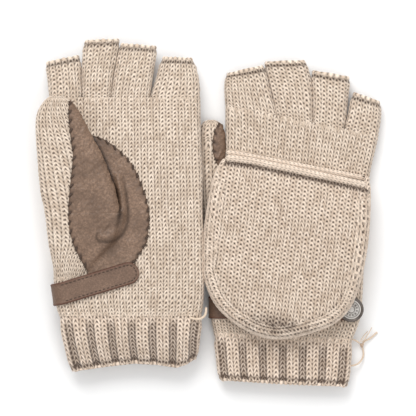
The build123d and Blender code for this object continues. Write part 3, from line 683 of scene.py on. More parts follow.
def pocket_sheet(m, weave, front, inner, seed):
    """One layer of the pocket: a sheet over the outline that turns down at its edge."""
    outline = outline_of(m.side)
    toe = outline[:, 1].argmax()
    fine = 4 if inner else 1
    v = np.arange(0, outline[toe, 1] + COURSE / ALONG, COURSE / ALONG * fine)
    u = np.arange(-60, 60.1, WALE / ACROSS * fine)
    shrink = LAYER if inner else 0.0
    low = np.interp(v, outline[: toe + 1, 1], outline[: toe + 1, 0]) + shrink
    high = np.interp(v, outline[toe:, 1][::-1], outline[toe:, 0][::-1]) - shrink
    keep = high > low
    v, low, high = v[keep], low[keep], high[keep]
    us = np.clip(u[None, :], low[:, None], high[:, None])
    vs = v[:, None] + 0 * us
    # The last row lies on the outline itself, so the toe is closed.
    us = np.concatenate([us, us[-1:]])
    tip = np.interp(us[-1], outline[toe - 30 : toe + 31, 0], outline[toe - 30 : toe + 31, 1]) - shrink
    vs = np.concatenate([vs, np.maximum(tip, vs[-1])[None, :]])
    low, high = np.append(low, low[-1]), np.append(high, high[-1])
    start, slope = MOUTH[m.side]
    mouth = np.maximum(start + slope * us, 0.4)
    if front:
        vs = np.maximum(vs, mouth)
    gap = np.stack([us, vs], -1)[:, :, None, :] - outline[None, None, :, :]
    away = np.linalg.norm(gap, axis=-1)
    nearest = away.argmin(axis=-1)
    d = np.maximum(away.min(axis=-1) - shrink, 0)
    d = np.where((us <= low[:, None] + 1e-6) | (us >= high[:, None] - 1e-6), 0, d)
    d[-1] = 0
    way = unit(np.gradient(outline, axis=0))
    out_u, out_v = -way[nearest, 1], way[nearest, 0]
    tilt = 1 - np.clip(d / EDGE_ROUND, 0, 1)
    profile = np.sqrt(np.clip(1 - tilt**2, 0, 1))
    middle = (POCKET_DEPTH - 1) / 2
    rise = np.clip((vs - mouth) / MOUTH_RISE, 0, 1)
    rise = rise * (2 - rise)
    full = (POCKET_DEPTH - middle) * rise + (MOUTH_DEPTH - middle) * (1 - rise)
    if front:
        deep = middle + (full - shrink - 0.5) * profile
        if m.up > 0:
            deep = deep + 1.6 * np.clip(d / 34, 0, 1) ** 0.8 * rise
    else:
        deep = middle - (middle + 1 - shrink - 0.4) * profile
    if inner:
        # The inner layers are painted dark as shade.
        weave.add(m.in_flip(us, vs, deep), grid_faces(*us.shape, flip=front), 0.4, 0.85)
        return
    reach = reach_along(outline)
    in_band = (d < BAND) & (vs > 16)
    # Round the edge, wales are counted along the curve and not across the sheet.
    from_edge = EDGE_ARC * np.arccos(np.clip(tilt, 0, 1)) + np.clip(d - EDGE_ROUND, 0, None)
    wale = np.where(in_band, from_edge / WALE, us / WALE)
    course = np.where(in_band, np.where(us < 0, -1, 1) * reach[nearest] / COURSE, -vs / COURSE)
    height, tint, hollow = stitches(wale, course, seed)
    gathered = np.exp(-(((us + 2) / 20) ** 2 + ((vs - outline[toe, 1] + 9) / 6) ** 2))
    ruck = smooth_noise(us * 0.32, vs * 0.32, seed + 9) - 0.5
    line = np.exp(-((np.abs(d - BAND) / 0.9) ** 2)) * np.clip((vs - 55) / 25, 0, 1)
    lift = RELIEF * height + 1.3 * gathered * ruck - 0.25 * line
    # Painted shade in the groove at the border's inner edge and in the low parts of the gathers at the toe.
    hollow = hollow + 0.12 * line + 0.5 * gathered * (0.6 - ruck)
    # Painted shadow that the mouth's hem casts onto the front layer just below it.
    if front:
        hollow = hollow + 0.55 * np.exp(-(((vs - mouth - 2.6) / 1.5) ** 2))
    # The painted shade fades towards the rounded edge.
    hollow = np.clip(hollow, 0, 1) * np.clip(d / 1.6, 0.2, 1)
    soft = smooth_noise(us * 0.05, vs * 0.05, seed + 15) - 0.5
    if m.up > 0 or not front:
        lift = lift + soft * profile
    # Both layers meet in one line at the edge.
    rim = np.clip(1 - d / 0.6, 0, 1)
    lift = lift * (1 - rim) + 0.45 * rim
    us, vs = us + out_u * tilt * lift, vs + out_v * tilt * lift
    deep = deep + (1 if front else -1) * profile * lift
    if m.up < 0 and front:
        deep = np.minimum(deep, POCKET_DEPTH - 0.05)
    weave.add(m.in_flip(us, vs, deep), grid_faces(*us.shape, flip=not front), tint, hollow)


def roll(weave, path, radius, seed, up=(0, 0, 1), dark=0.65):
    """A rolled edge of knitting along a path of world points, with its chain of stitches; the whole roll is
    painted lighter as a painted highlight on the raised ridge, and dark scales the painted shade between its
    stitches.
    """
    reach = reach_along(path)
    count = int(reach[-1] / (WALE / ACROSS))
    at = np.linspace(0, reach[-1], count)
    centre = read_along(at, reach, path)
    way = unit(np.gradient(centre, axis=0))
    side = unit(np.cross(way, up))
    over = np.cross(side, way)
    turns = np.linspace(0, 2 * math.pi, 20, endpoint=False)
    along = at[:, None] / COURSE + 0 * turns[None, :]
    wales = round(2 * math.pi * radius / WALE * 1.4)
    round_it = turns[None, :] / (2 * math.pi) * wales + 0 * along
    height, tint, hollow = stitches(round_it, along, seed)
    taper = np.sqrt(np.clip(np.minimum(at, reach[-1] - at) / (radius * 1.2), 0.02, 1))[:, None]
    size = (radius - 0.3 + 0.75 * height) * taper
    points = centre[:, None, :] + side[:, None, :] * (np.cos(turns) * size)[..., None]
    points = points + over[:, None, :] * (np.sin(turns) * size)[..., None]
    # Painted highlight: the lowered tint makes the whole roll lighter; painted shade between stitches is
    # scaled by dark.
    weave.add(points, grid_faces(count, len(turns), True, flip=True), tint * 0.6, hollow * dark)


for m in (left, right):
    seed = 1300 if m is left else 1700
    weave = Weave()
    for front in (True, False):
        pocket_sheet(m, weave, front, False, seed + front)
        pocket_sheet(m, weave, front, True, seed + 4)
    edge = outline_of(m.side, 161)
    way = unit(np.gradient(edge, axis=0))
    edge = edge + np.stack([way[:, 1], -way[:, 0]], -1) * (EDGE_BEAD - 0.5)
    bead_line = m.in_flip(edge[:, 0], edge[:, 1], (POCKET_DEPTH - 1) / 2)
    roll(weave, bead_line, EDGE_BEAD, seed + 60, up=m.away, dark=1.0)
    pocket = weave.make(f"{m.side}_pocket_knit", FLIP_KNIT, weld=0.03)
    start, slope = MOUTH[m.side]
    first, last = POCKET[m.side][0][0], POCKET[m.side][-1][0]
    weave = Weave()
    us = np.linspace(first + 1.0, last + 0.2, 40)
    lift = MOUTH_DEPTH + (0.3 if m.up > 0 else 0.0)
    drop = 2.6 * (np.abs(2 * (us - first) / (last - first) - 1) ** 10)
    roll(weave, m.in_flip(us, np.maximum(start + slope * us, 0.4) - 1.0, lift + 0.7 - drop), 2.0, seed + 40)
    hem = weave.make(f"{m.side}_mouth_hem", FLIP_KNIT)
    settle(hem, f"{m.side}_flip_front", "rib_knit", f"{m.side}_flip_hem")
    weave = Weave()
    us = np.linspace(first + 1.0, last + 2.0, 40)
    vs = -1.2 + 0.0655 * us if m.up > 0 else 0 * us - 0.6
    drop = 1.6 * (np.abs(2 * (us - first) / (last - first) - 1) ** 8)
    roll(weave, m.in_flip(us, vs, 1.9 - drop), 1.9, seed + 80)
    seam = weave.make(f"{m.side}_flip_seam", FLIP_KNIT)
    settle(seam, f"{m.side}_hand", "yarn", f"{m.side}_flip_seam_yarn")
    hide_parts(f"{m.side}_flip_back_layer", f"{m.side}_flip_front_layer")
    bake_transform(pocket)

# ---- leather ---------------------------------------------------------------------------
HIDE_THICK = 1.5         # top of the hide over the knit
WHIP_PITCH = 6.0         # from one stitch to the next
PUCKER = 0.75            # depth of the small folds at the stitches
THUMB_WHIP = [(-94.0, 75.0), (-94.6, 62.6), (-92.5, 43.5), (-91.8, 35.4), (-94.3, 10.0), (-94.9, -5.4),
              (-93.6, -15.6), (-89.8, -26.5), (-82.3, -40.1)]
PALM_EDGE = [(-78.2, 51.7), (-70.4, 49.0), (-57.8, 39.4), (-49.6, 28.6), (-42.8, 11.6), (-40.3, -2.0),
             (-41.5, -18.4), (-44.9, -25.8), (-51.0, -35.4)]
PALM_UNDER_STRAP = [(-54.0, -42.0), (-68.0, -45.0), (-81.0, -48.5)]
PALM_UNDER_THUMB = [(-90.0, 1.0), (-78.0, 6.0), (-75.0, 20.0), (-84.0, 44.0), (-86.0, 50.0)]
FOLD_RIDGE = [(-62.6, 27.2), (-60.5, 18.4), (-58.8, 8.2), (-58.1, 0.0), (-58.5, -6.8), (-61.2, -12.9),
              (-66.0, -16.7), (-72.5, -17.0)]
RIDGE_HIGH, RIDGE_WIDE = 4.4, 3.0


def dense_curve(points, per_run=8):
    return through(points, np.linspace(0, len(points) - 1, (len(points) - 1) * per_run + 1))


def spots_along(curve, pitch):
    """Evenly spaced places on a curve, and the curve's direction at each."""
    reach = reach_along(curve)
    count = max(2, int(reach[-1] / pitch))
    at = (np.arange(count) + 0.5) * reach[-1] / count
    places = read_along(at, reach, curve)
    return places, unit(read_along(at + 0.3, reach, curve) - places)


def distance_to(points, curve):
    """Distance from each point to a curve given by close points."""
    best = np.full(points.shape[:-1], 1e9)
    for a, b in zip(curve[:-1], curve[1:]):
        run = b - a
        t = np.clip(((points - a) @ run) / max(run @ run, 1e-9), 0, 1)
        best = np.minimum(best, np.linalg.norm(points - a - t[..., None] * run, axis=-1))
    return best


def row_at(sections, y):
    """The section values of a tube at given y, all arrays."""
    table = np.array(sections, float)
    order = table[:, 1].argsort()
    return [np.interp(y, table[order, 1], table[order, k]) for k in range(7)]


def thumb_top(x, y, grow=0.0):
    """Height over the left palm of the thumb's upper face, the thumb grown wider by grow."""
    x0, _, x1, _, middle, thick, square = row_at(left_thumb, y)
    wide, deep = (x1 - x0) / 2 + grow, thick / 2
    flat = np.maximum(wide - deep * ROUND_END, 0)
    off = np.abs(x - (x0 + x1) / 2)
    edge = np.maximum(off - flat, 0) / (wide - flat)
    crown = np.where(edge < 1, (1 - np.clip(edge, 0, 1) ** square) ** (1 / square), -(edge - 1) * 2)
    return -middle + deep * crown


def creases(x, y, seed):
    """Fine wrinkles of soft hide, in mm."""
    fine = smooth_noise(x * 0.55 + y * 0.2, y * 0.9, seed) - 0.5
    broad = smooth_noise(x * 0.14, y * 0.14, seed + 1) - 0.5
    grain = smooth_noise(x * 1.1, y * 1.3, seed + 2) - 0.5
    drawn = smooth_noise((0.8 * x - 0.6 * y) * 0.75, (0.6 * x + 0.8 * y) * 0.2, seed + 3) - 0.5
    return 0.5 * fine + 0.5 * broad + 0.3 * grain + 0.75 * drawn


def turned(ways, degrees):
    angle = math.radians(degrees)
    spin = np.array([[math.cos(angle), math.sin(angle)], [-math.sin(angle), math.cos(angle)]])
    return ways @ spin


def pucker(points, places, ways):
    """How deep each point lies in the small folds that run in from the stitches, 0 to 1."""
    near = np.zeros(points.shape[:-1])
    for place, way in zip(places, ways):
        off = points - (place + 1.5 * way)
        ahead, aside = off @ way, off @ np.array([-way[1], way[0]])
        near = np.maximum(near, np.exp(-((ahead / 2.4) ** 2) - (aside / 0.9) ** 2))
    return near


def edge_fall_and_dark(free, near):
    """How far a hide is rounded off at a distance from its edge, and how dark it is there: painted shade in
    the small folds at the stitches, and darker towards the edge.
    """
    edge = np.clip(free / 1.3, 0, 1)
    return 0.9 * (1 - np.sqrt(edge * (2 - edge))), near * 0.8 + (1 - edge) * 0.55


def hide_sheet(name, m, outline, rise, holes, ways, edge_curves, shade=None, spacing=1.0):
    """A flat-cut piece of hide over the palm; rise gives its height over the palm."""
    low, high = outline.min(0), outline.max(0)
    across, along = np.arange(low[0], high[0], spacing), np.arange(low[1], high[1], spacing * 0.87)
    xs, ys = np.meshgrid(across, along)
    xs[::2] += spacing / 2
    inner = np.stack([xs.ravel(), ys.ravel()], -1)
    closed = np.concatenate([outline, outline[:1]])
    inner = inner[distance_to(inner, closed) > spacing * 0.45]
    start = [tuple(p) for p in outline] + [tuple(p) for p in inner]
    edges = [(k, (k + 1) % len(outline)) for k in range(len(outline))]
    verts, _, faces, _, _, _ = delaunay_2d_cdt(start, edges, [list(range(len(outline)))], 1, 1e-5)
    flat = np.array([tuple(v) for v in verts])
    centre = distance_to(flat, closed)
    free = np.minimum.reduce([distance_to(flat, curve) for curve in edge_curves])
    near = pucker(flat, holes, ways)
    fall, dark = edge_fall_and_dark(free, near)
    height = rise(flat[:, 0], flat[:, 1]) - HIDE_THICK * fall - PUCKER * near
    height = height + creases(flat[:, 0], flat[:, 1], 31) * np.clip(free / 3, 0, 1)
    order = np.array([f[::-1] if m.up > 0 else f for f in faces if len(f) == 3])
    if shade:
        dark = dark + shade(flat)
    dark = np.clip(dark, 0, 1)
    deep = HIDE_THICK * (0.25 + 0.75 * np.clip(centre, 0, 1))
    top = m.at(flat[:, 0], flat[:, 1], -height)
    under = m.at(flat[:, 0], flat[:, 1], -(height - deep))
    rim = np.array([int(np.argmin(np.sum((flat - p) ** 2, axis=1))) for p in outline])
    following = np.roll(rim, -1)
    weave = Weave()
    # The underside is painted dark as shade.
    weave.add(np.concatenate([top, under]), np.concatenate([order, order[:, ::-1] + len(flat)]),
              hollow=np.concatenate([dark, dark * 0 + 0.8]))
    weave.faces.append(np.stack([rim, following, following + len(flat), rim + len(flat)], -1))
    return weave.make(name, HIDE)


def strand(weave, points, radius, sides=8):
    """A short thread through world points, thin at both ends."""
    way = unit(np.gradient(points, axis=0))
    side = unit(np.cross(way, [0.3, 0.2, 0.93]))
    over = np.cross(side, way)
    turns = np.linspace(0, 2 * math.pi, sides, endpoint=False)
    size = radius * np.sqrt(np.clip(1 - np.linspace(-1, 1, len(points)) ** 4, 0.05, 1))
    rings = points[:, None, :] + size[:, None, None] * (
        side[:, None, :] * np.cos(turns)[None, :, None] + over[:, None, :] * np.sin(turns)[None, :, None])
    # A little painted shade over the whole strand.
    weave.add(rings, grid_faces(len(points), sides, True, flip=True), hollow=0.2)


def whip(name, m, places, ways, height, node, length=3.8, sign=-1):
    """Slanted stitches from just outside the edge of the hide into it."""
    weave = Weave()
    steps = np.linspace(-0.15, 0.85, 8)
    for place, way in zip(places, ways):
        line = place + np.outer(steps * length, way)
        top = height(line[:, 0], line[:, 1]) - 0.5 - 0.6 * np.clip(-steps / 0.15, 0, 1)
        strand(weave, m.at(line[:, 0], line[:, 1], sign * top), 0.7)
    settle(weave.make(name, THREAD), f"{m.side}_hand", "thread", node)


def hide_on_thumb(name, m, sections, ys, whip_line, ways, palm_side, under, columns=56):
    """Hide round one side of a thumb: from the whip line over its right edge to beneath."""
    xs, hs, far = [], [], []
    for y in ys:
        x0, _, x1, _, middle, thick, square = (float(v) for v in row_at(sections, y))
        grow = HIDE_THICK * (1 if y > -4 else max(0.2, 1 + (y + 4) / 4))
        across, depth, reach = section_outline((x1 - x0) / 2 + grow, thick / 2 + grow, square)
        across, height = across + (x0 + x1) / 2, middle - depth
        half = len(reach) // 2
        edge_x = np.interp(y, whip_line[::-1, 1], whip_line[::-1, 0])
        edge_x = min(edge_x, across.max() - 0.6)
        if palm_side:
            begin = np.interp(edge_x, across[: half + 1], reach[: half + 1])
            at = np.linspace(begin, reach[half] + under, columns)
        else:
            begin = np.interp(-edge_x, -across[half:], reach[half:])
            at = np.linspace(begin, reach[half] - under, columns)
        xs.append(np.interp(at, reach, across))
        hs.append(np.interp(at, reach, height))
        far.append(np.abs(at - begin))
    xs, hs, far = np.array(xs), np.array(hs), np.array(far)
    grid_y = np.asarray(ys)[:, None] + 0 * xs
    points = m.at(xs, grid_y, hs)
    normals = surface_normals(points, False)
    if (normals[len(ys) // 2, columns // 3] @ m.normal) * m.up * (-1 if palm_side else 1) < 0:
        normals = -normals
    places, _ = spots_along(whip_line, WHIP_PITCH)
    near = pucker(np.stack([xs, grid_y], -1), places, ways)
    fall, dark = edge_fall_and_dark(far, near)
    lift = creases(far, grid_y, 77) * np.clip(far / 3, 0, 1) - fall - PUCKER * near
    shown = points + normals * lift[..., None]
    weave = Weave()
    weave.add(shown, grid_faces(*xs.shape, flip=palm_side == (m.up < 0)), 0.5, np.clip(dark, 0, 1))
    back = shown - normals * (HIDE_THICK * 0.7)
    # The back face is painted dark as shade.
    weave.add(back, grid_faces(*xs.shape, flip=palm_side != (m.up < 0)), 0.5, 0.8)
    return weave.make(name, HIDE)


def along_ridge(points):
    """Distance from the fold's ridge line, and the share of the way along it."""
    line = dense_curve(FOLD_RIDGE)
    gaps = np.linalg.norm(points[..., None, :] - line, axis=-1)
    return gaps.min(axis=-1), gaps.argmin(axis=-1) / (len(line) - 1)


def left_palm_rise(x, y):
    """Height of the left palm's hide: flat, and up over the thumb's root below the crotch."""
    over = thumb_top(x, y, 1.8) + HIDE_THICK - np.clip(y + 1.5, 0, None) * 1.6
    sharp = 0.9 - 0.5 * np.clip((-5 - y) / 14, 0, 1)
    top = np.log(np.exp(sharp * HIDE_THICK) + np.exp(sharp * np.clip(over, -5, 20))) / sharp
    off, share = along_ridge(np.stack([x, y], -1))
    size = RIDGE_HIGH * np.clip(share * 4.5, 0, 1) ** 0.7 * (1 - 0.5 * share)
    ridge = np.exp(-((off / RIDGE_WIDE) ** 2) * 1.3)
    fan = np.exp(-(((x + 70) / 8) ** 2) - ((y + 9) / 9) ** 2)
    wrinkle = fan * np.sin((0.45 * x - 0.9 * y) * 1.5 + 5 * smooth_noise(x * 0.12, y * 0.12, 8))
    return np.maximum(top, HIDE_THICK) + size * ridge + 0.3 * wrinkle


def left_palm_shade(points):
    """Painted shade in the crease beside the thumb and along the outer foot of the fold."""
    x, y = points[:, 0], points[:, 1]
    side = row_at(left_thumb, y)[2] + 1.6
    crease = np.exp(-(((x - side) / 1.7) ** 2)) * np.clip((y + 12) / 10, 0, 1)
    off, share = along_ridge(points)
    outer = (x > np.interp(y, [-17, 0, 27], [-60, -57.5, -61])) | (y < -14)
    foot = np.exp(-(((off - RIDGE_WIDE * 1.15) / 1.0) ** 2)) * outer * np.clip(share * 5, 0, 1)
    return crease + 0.7 * foot


palm_edge = dense_curve(PALM_EDGE)
thumb_whip = dense_curve(THUMB_WHIP)
below = thumb_whip[thumb_whip[:, 1] < 0]
palm_places, palm_ways = spots_along(palm_edge, WHIP_PITCH)
thumb_places, thumb_ways = spots_along(thumb_whip, WHIP_PITCH)
palm_ways, thumb_ways = turned(palm_ways, -32), turned(thumb_ways, 138)
outline = np.concatenate(
    [palm_edge, dense_curve(PALM_UNDER_STRAP), below[::-1], dense_curve(PALM_UNDER_THUMB, 4)])
sewn, sewn_ways = np.concatenate([palm_places, thumb_places]), np.concatenate([palm_ways, thumb_ways])
piece = hide_sheet(
    "left_palm_hide", left, outline, left_palm_rise, sewn, sewn_ways, [palm_edge, below], left_palm_shade)
settle(piece, "left_hand", "hide", "left_palm_leather")
piece = hide_on_thumb(
    "left_thumb_hide", left, left_thumb, np.arange(74.4, -8, -0.8), thumb_whip, thumb_ways, True, 4.0)
settle(piece, "left_hand", "hide", "left_thumb_leather")


def left_whip_rise(x, y):
    return np.where(y < -3, left_palm_rise(x, y), thumb_top(x, y) + HIDE_THICK)


def level_at(height):
    return lambda x, y: 0 * x + height


whip("left_palm_whip", left, palm_places, palm_ways, level_at(HIDE_THICK), "left_palm_whip_stitches")
whip("left_thumb_whip", left, thumb_places, thumb_ways, left_whip_rise, "left_thumb_whip_stitches")

RIGHT_SHIFT = np.array([106.5, -8.0])      # from the left palm's hide to the right one's
RIGHT_HIDE, RIGHT_WHIP_TOP = 1.1, 1.4      # heights over the right palm, which lies on the floor
RIGHT_WHIP = [(9.5, 61.6), (5.6, 59.0), (3.2, 53.0), (2.4, 45.0), (3.4, 37.0), (7.0, 28.0), (8.0, 8.0)]
right_edge = palm_edge + RIGHT_SHIFT
right_rest = np.array([(22.0, -49.0), (12.0, -37.0), (5.5, -18.0), (4.5, -2.0), (14.0, 4.0), (24.0, 26.0)])
right_places, right_ways = spots_along(right_edge, WHIP_PITCH)
right_ways = turned(right_ways, -32)
right_outline = np.concatenate([right_edge, right_rest])
piece = hide_sheet(
    "right_palm_hide", right, right_outline, level_at(RIGHT_HIDE), right_places, right_ways, [right_edge],
    spacing=2.0)
settle(piece, "right_hand", "hide", "right_palm_leather")
whip("right_palm_whip", right, right_places, right_ways, level_at(RIGHT_WHIP_TOP), "right_palm_whip_stitches")
right_whip = dense_curve(RIGHT_WHIP)
right_thumb_places, right_thumb_ways = spots_along(right_whip, WHIP_PITCH)
right_thumb_ways = turned(right_thumb_ways, 50)
piece = hide_on_thumb(
    "right_thumb_hide", right, right_thumb, np.arange(61.4, 2, -0.8), right_whip, right_thumb_ways,
    False, 7.0, columns=40)
settle(piece, "right_hand", "hide", "right_thumb_leather")


def right_thumb_rise(x, y):
    """Height of the right thumb's back, over the palm."""
    x0, _, x1, _, middle, thick, square = row_at(right_thumb, y)
    off = np.abs(x - (x0 + x1) / 2) / ((x1 - x0) / 2)
    return middle + thick / 2 * (1 - np.clip(off, 0, 0.98) ** square) ** (1 / square) + HIDE_THICK


whip("right_thumb_whip", right, right_thumb_places, right_thumb_ways, right_thumb_rise,
     "right_thumb_whip_stitches", length=2.8, sign=1)

# ---- straps and snaps --------------------------------------------------------------------
STRAP_WIDE, STRAP_THICK = 15.0, 1.6
STRAP_LEVEL = {"left": 2.1, "right": 1.0}        # palm surface to the middle of the strap
THREAD_TOP = {"left": 0.72, "right": 0.45}       # middle of the strap to its thread
THREAD_INSET, THREAD_PITCH = 2.0, 2.9
FOLD_RADIUS = 6.0
FOLD = {"left": (-106.6, -56.3, 8.1), "right": (-0.5, -65.0, 0.0)}      # edge of the fold, and its slope
SNAP = {"left": (-12.2, -57.0), "right": (96.6, -66.2)}
STRAP_SLOPE, STRAP_REACH = 15.8, 54.0
TAB_START = 9.0


def heading(degrees):
    return np.array([math.cos(math.radians(degrees)), math.sin(math.radians(degrees))])


def band(weave, centre, side, up_way, half_width):
    """A strip of leather with raised, rolled edges along stations."""
    share = np.concatenate([np.linspace(-1, 1, 25), np.linspace(1, -1, 25)[1:-1]])
    outer = np.concatenate([np.ones(25), -np.ones(23)])
    in_from_edge = (1 - np.abs(share)) * STRAP_WIDE / 2
    bead = np.exp(-(in_from_edge / 0.9 - 0.6) ** 2)
    profile = np.where(outer > 0, 0.56 + 0.24 * bead, -0.75)
    rounding = np.clip(in_from_edge / 0.7, 0, 1)
    profile = profile * np.sqrt(rounding * (2 - rounding))
    centre, side, up_way = (np.asarray(v)[:, None, :] for v in (centre, side, up_way))
    points = centre + side * (share[None, :] * half_width[:, None])[..., None]
    points = points + up_way * (profile[None, :] * np.clip(half_width / 1.5, 0, 1)[:, None])[..., None]
    edge = np.exp(-(in_from_edge / 1.1) ** 2)
    dark = np.clip(edge[None, :] + np.clip(1 - half_width / 4, 0, 1)[:, None], 0, 1)
    # The underside is painted dark as shade; the darker edges are the strap's own colour.
    weave.add(points, grid_faces(len(half_width), len(share), True), 0.5, np.where(outer > 0, dark, 0.6))


def make_strap(m):
    x, y, climb = FOLD[m.side]
    fold, inward = np.array([x, y]), heading(climb)
    middle = fold + inward * (FOLD_RADIUS + STRAP_THICK / 2)
    end = fold + heading(STRAP_SLOPE) * STRAP_REACH
    stretch = (end - middle) / np.linalg.norm(end - middle)
    snap = np.array(SNAP[m.side])
    swing = middle + inward * TAB_START
    tab = (snap - swing) / np.linalg.norm(snap - swing)
    half = STRAP_WIDE / 2
    # Stations: the leg on the back, the fold, and the run across the palm to its round end.
    leg = np.linspace(TAB_START - 1.9, 0.4, 6)
    turn = np.linspace(0, math.pi, 19)
    run = np.linspace(0.8, np.linalg.norm(end - middle), 60)
    tip = np.sin(np.linspace(0, math.pi / 2, 16))[1:] * half
    flat = np.concatenate([
        middle + leg[:, None] * inward,
        middle - np.sin(turn)[:, None] * FOLD_RADIUS * inward,
        middle + run[:, None] * stretch,
        end + tip[:, None] * stretch,
    ])
    level = STRAP_LEVEL[m.side]
    height = np.concatenate([
        0 * leg + MID + FOLD_RADIUS,
        MID + np.cos(turn) * FOLD_RADIUS - (level - 1.0) * np.clip(turn / math.pi, 0, 1) ** 2,
        0 * run - level,
        0 * tip - level,
    ])
    round_end = np.sqrt(np.maximum(half**2 - tip**2, 0.0004))
    width = np.concatenate([np.full(len(leg) + len(turn) + len(run), half), round_end])
    ease = np.clip(np.arange(len(flat)) - len(leg) - len(turn), 0, 8) / 8
    direction = unit((1 - ease)[:, None] * inward + ease[:, None] * stretch)
    zero = m.at(0.0, 0.0, 0.0)
    side = m.at(-direction[:, 1], direction[:, 0], 0 * height) - zero
    centre = m.at(flat[:, 0], flat[:, 1], height)
    out_way = unit(np.cross(side, unit(np.gradient(centre, axis=0))))
    if (out_way[-1] @ m.normal) * m.up > 0:
        out_way = -out_way
    weave = Weave()
    band(weave, centre, side, out_way, width)
    strap = weave.make(f"{m.side}_strap_hide", STRAP_HIDE)
    settle(strap, f"{m.side}_hand", "strap_hide", f"{m.side}_strap")

    weave = Weave()
    normal = np.array([-stretch[1], stretch[0]])
    inset = half - THREAD_INSET
    lines = [
        middle + (spot + np.linspace(-0.95, 0.95, 5))[:, None] * stretch + way * inset * normal
        for way in (-1, 1)
        for spot in np.arange(2.5, np.linalg.norm(end - middle), THREAD_PITCH)
    ]
    for angle in np.linspace(-78, 78, 7):
        arc = math.radians(STRAP_SLOPE + angle) + np.linspace(-0.16, 0.16, 5)
        lines.append(end + inset * np.stack([np.cos(arc), np.sin(arc)], -1))
    for line in lines:
        strand(weave, m.at(line[:, 0], line[:, 1], -(level + THREAD_TOP[m.side])), 0.32, 6)
    thread = weave.make(f"{m.side}_strap_thread", THREAD)
    settle(thread, f"{m.side}_hand", "thread", f"{m.side}_strap_stitches")

    run = np.concatenate([[-0.75, -0.5], np.linspace(0.0, np.linalg.norm(snap - swing), 60)])
    flat = np.concatenate([swing + run[:, None] * tab, snap + tip[:, None] * tab])
    width = np.concatenate([np.full(len(run), half), round_end])
    width[0] = half * 0.985
    centre = m.at(flat[:, 0], flat[:, 1], np.full(len(flat), TAB_HEIGHT))
    side = np.tile(m.at(-tab[1], tab[0], 0.0) - zero, (len(flat), 1))
    weave = Weave()
    band(weave, centre, side, np.tile(m.normal * m.up, (len(flat), 1)), width)
    free = weave.make(f"{m.side}_tab_hide", STRAP_HIDE)
    settle(free, f"{m.side}_tab", "strap_hide", f"{m.side}_strap_tab")
    make_cap(m, snap)


CAP_RADIUS, CAP_BEAD = 8.5, 1.0


def make_cap(m, snap):
    """The snap's cap: a rounded dark rim round a face with generic rings and rays."""
    turns = np.linspace(0, 2 * math.pi, 96, endpoint=False)
    base = TAB_HEIGHT + STRAP_THICK / 2
    bead = np.linspace(-0.6, math.pi, 12)
    rim_radius = np.concatenate([[8.3], CAP_RADIUS - CAP_BEAD + CAP_BEAD * np.cos(bead), [6.4]])
    rim_rise = np.concatenate([[0], 0.95 + CAP_BEAD * np.sin(bead), [0.6]])
    face_radius = np.linspace(0.02, 6.55, 44)
    for part, node, material, slot, radii in (
        ("rim", "snap_rim", DARK_METAL, "snap_dark_metal", rim_radius),
        ("face", "snap_cap", PEWTER, "snap_metal", face_radius),
    ):
        radius = radii[:, None] + 0 * turns[None, :]
        if part == "rim":
            high = rim_rise[:, None] + 0 * radius
            # Painted shade: the rim is darker where it lies lower.
            dark = np.clip((1.3 - rim_rise) * 0.6, 0, 1)[:, None] + 0 * radius
        else:
            ring = np.exp(-((radius - 5.5) / 0.22) ** 2) + np.exp(-((radius - 2.3) / 0.22) ** 2)
            between = np.exp(-((radius - 3.9) / 1.0) ** 2)
            rays = np.cos(12 * turns)[None, :] * between
            high = 1.25 - 0.22 * ring + 0.2 * rays + 0.25 * np.exp(-(radius / 1.4) ** 2)
            # Painted shade in the grooved rings and in the troughs between the rays.
            dark = np.clip(0.85 * ring + 0.45 * (1 - rays) * between, 0, 1)
        points = m.at(snap[0] + radius * np.cos(turns), snap[1] + radius * np.sin(turns), base + high)
        weave = Weave()
        flip = (part == "rim") != (m.up > 0)
        weave.add(points, grid_faces(*radius.shape, True, flip=flip), 0.5, dark)
        settle(weave.make(f"{m.side}_cap_{part}", material), f"{m.side}_tab", slot, f"{m.side}_{node}")
    for node in (f"{m.side}_snap_stud", f"{m.side}_snap_socket"):
        slots = frame["nodes"][node].data.materials
        slots.clear()
        slots.append(DARK_METAL)


for m in (left, right):
    make_strap(m)

# ---- loose yarn --------------------------------------------------------------------------
LEFT_YARN = [(-13.1, -71.2, 27.0), (-8.4, -72.8, 27.2), (-4.2, -71.6, 26.0), (-1.8, -68.6, 24.2),
             (-1.9, -64.8, 22.6)]
TIE_KNOT = (104.4, -91.0, 2.4)
TIE_YARN = [(96.4, -104.9, 5.6), (100.4, -104.6, 4.6), (103.8, -101.9, 3.0), (105.7, -98.2, 1.5),
            (105.4, -94.4, 1.4), TIE_KNOT, (106.6, -87.8, 2.2), (110.2, -86.6, 1.2), (112.6, -84.4, 0.9),
            (115.0, -82.2, 0.9)]
TIE_RETURN = [(97.6, -86.8, 6.0), (100.2, -87.4, 4.2), (102.8, -89.6, 3.4)]
SHORT_END = [(103.4, -88.6, 3.6), (104.6, -85.2, 3.0), (108.5, -81.6, 1.4)]
LONG_END = [(104.5, -88.9, 3.9), (108.1, -85.2, 4.2), (111.2, -78.9, 2.0)]
YARN_RADIUS = 0.6


def yarn(name, route, radius, node, body):
    curve = bpy.data.curves.new(name, "CURVE")
    curve.dimensions = "3D"
    spline = curve.splines.new("NURBS")
    spline.points.add(len(route) - 1)
    for point, place in zip(spline.points, route):
        point.co = (*(value * MM for value in place), 1)
    spline.order_u = 3
    spline.use_endpoint_u = True
    curve.bevel_depth = radius * MM
    curve.bevel_resolution = 4
    curve.use_fill_caps = True
    curve.resolution_u = 10
    curve.materials.append(YARN)
    piece = bpy.data.objects.new(name, curve)
    bpy.context.scene.collection.objects.link(piece)
    settle(piece, body, "yarn", node)
    return piece


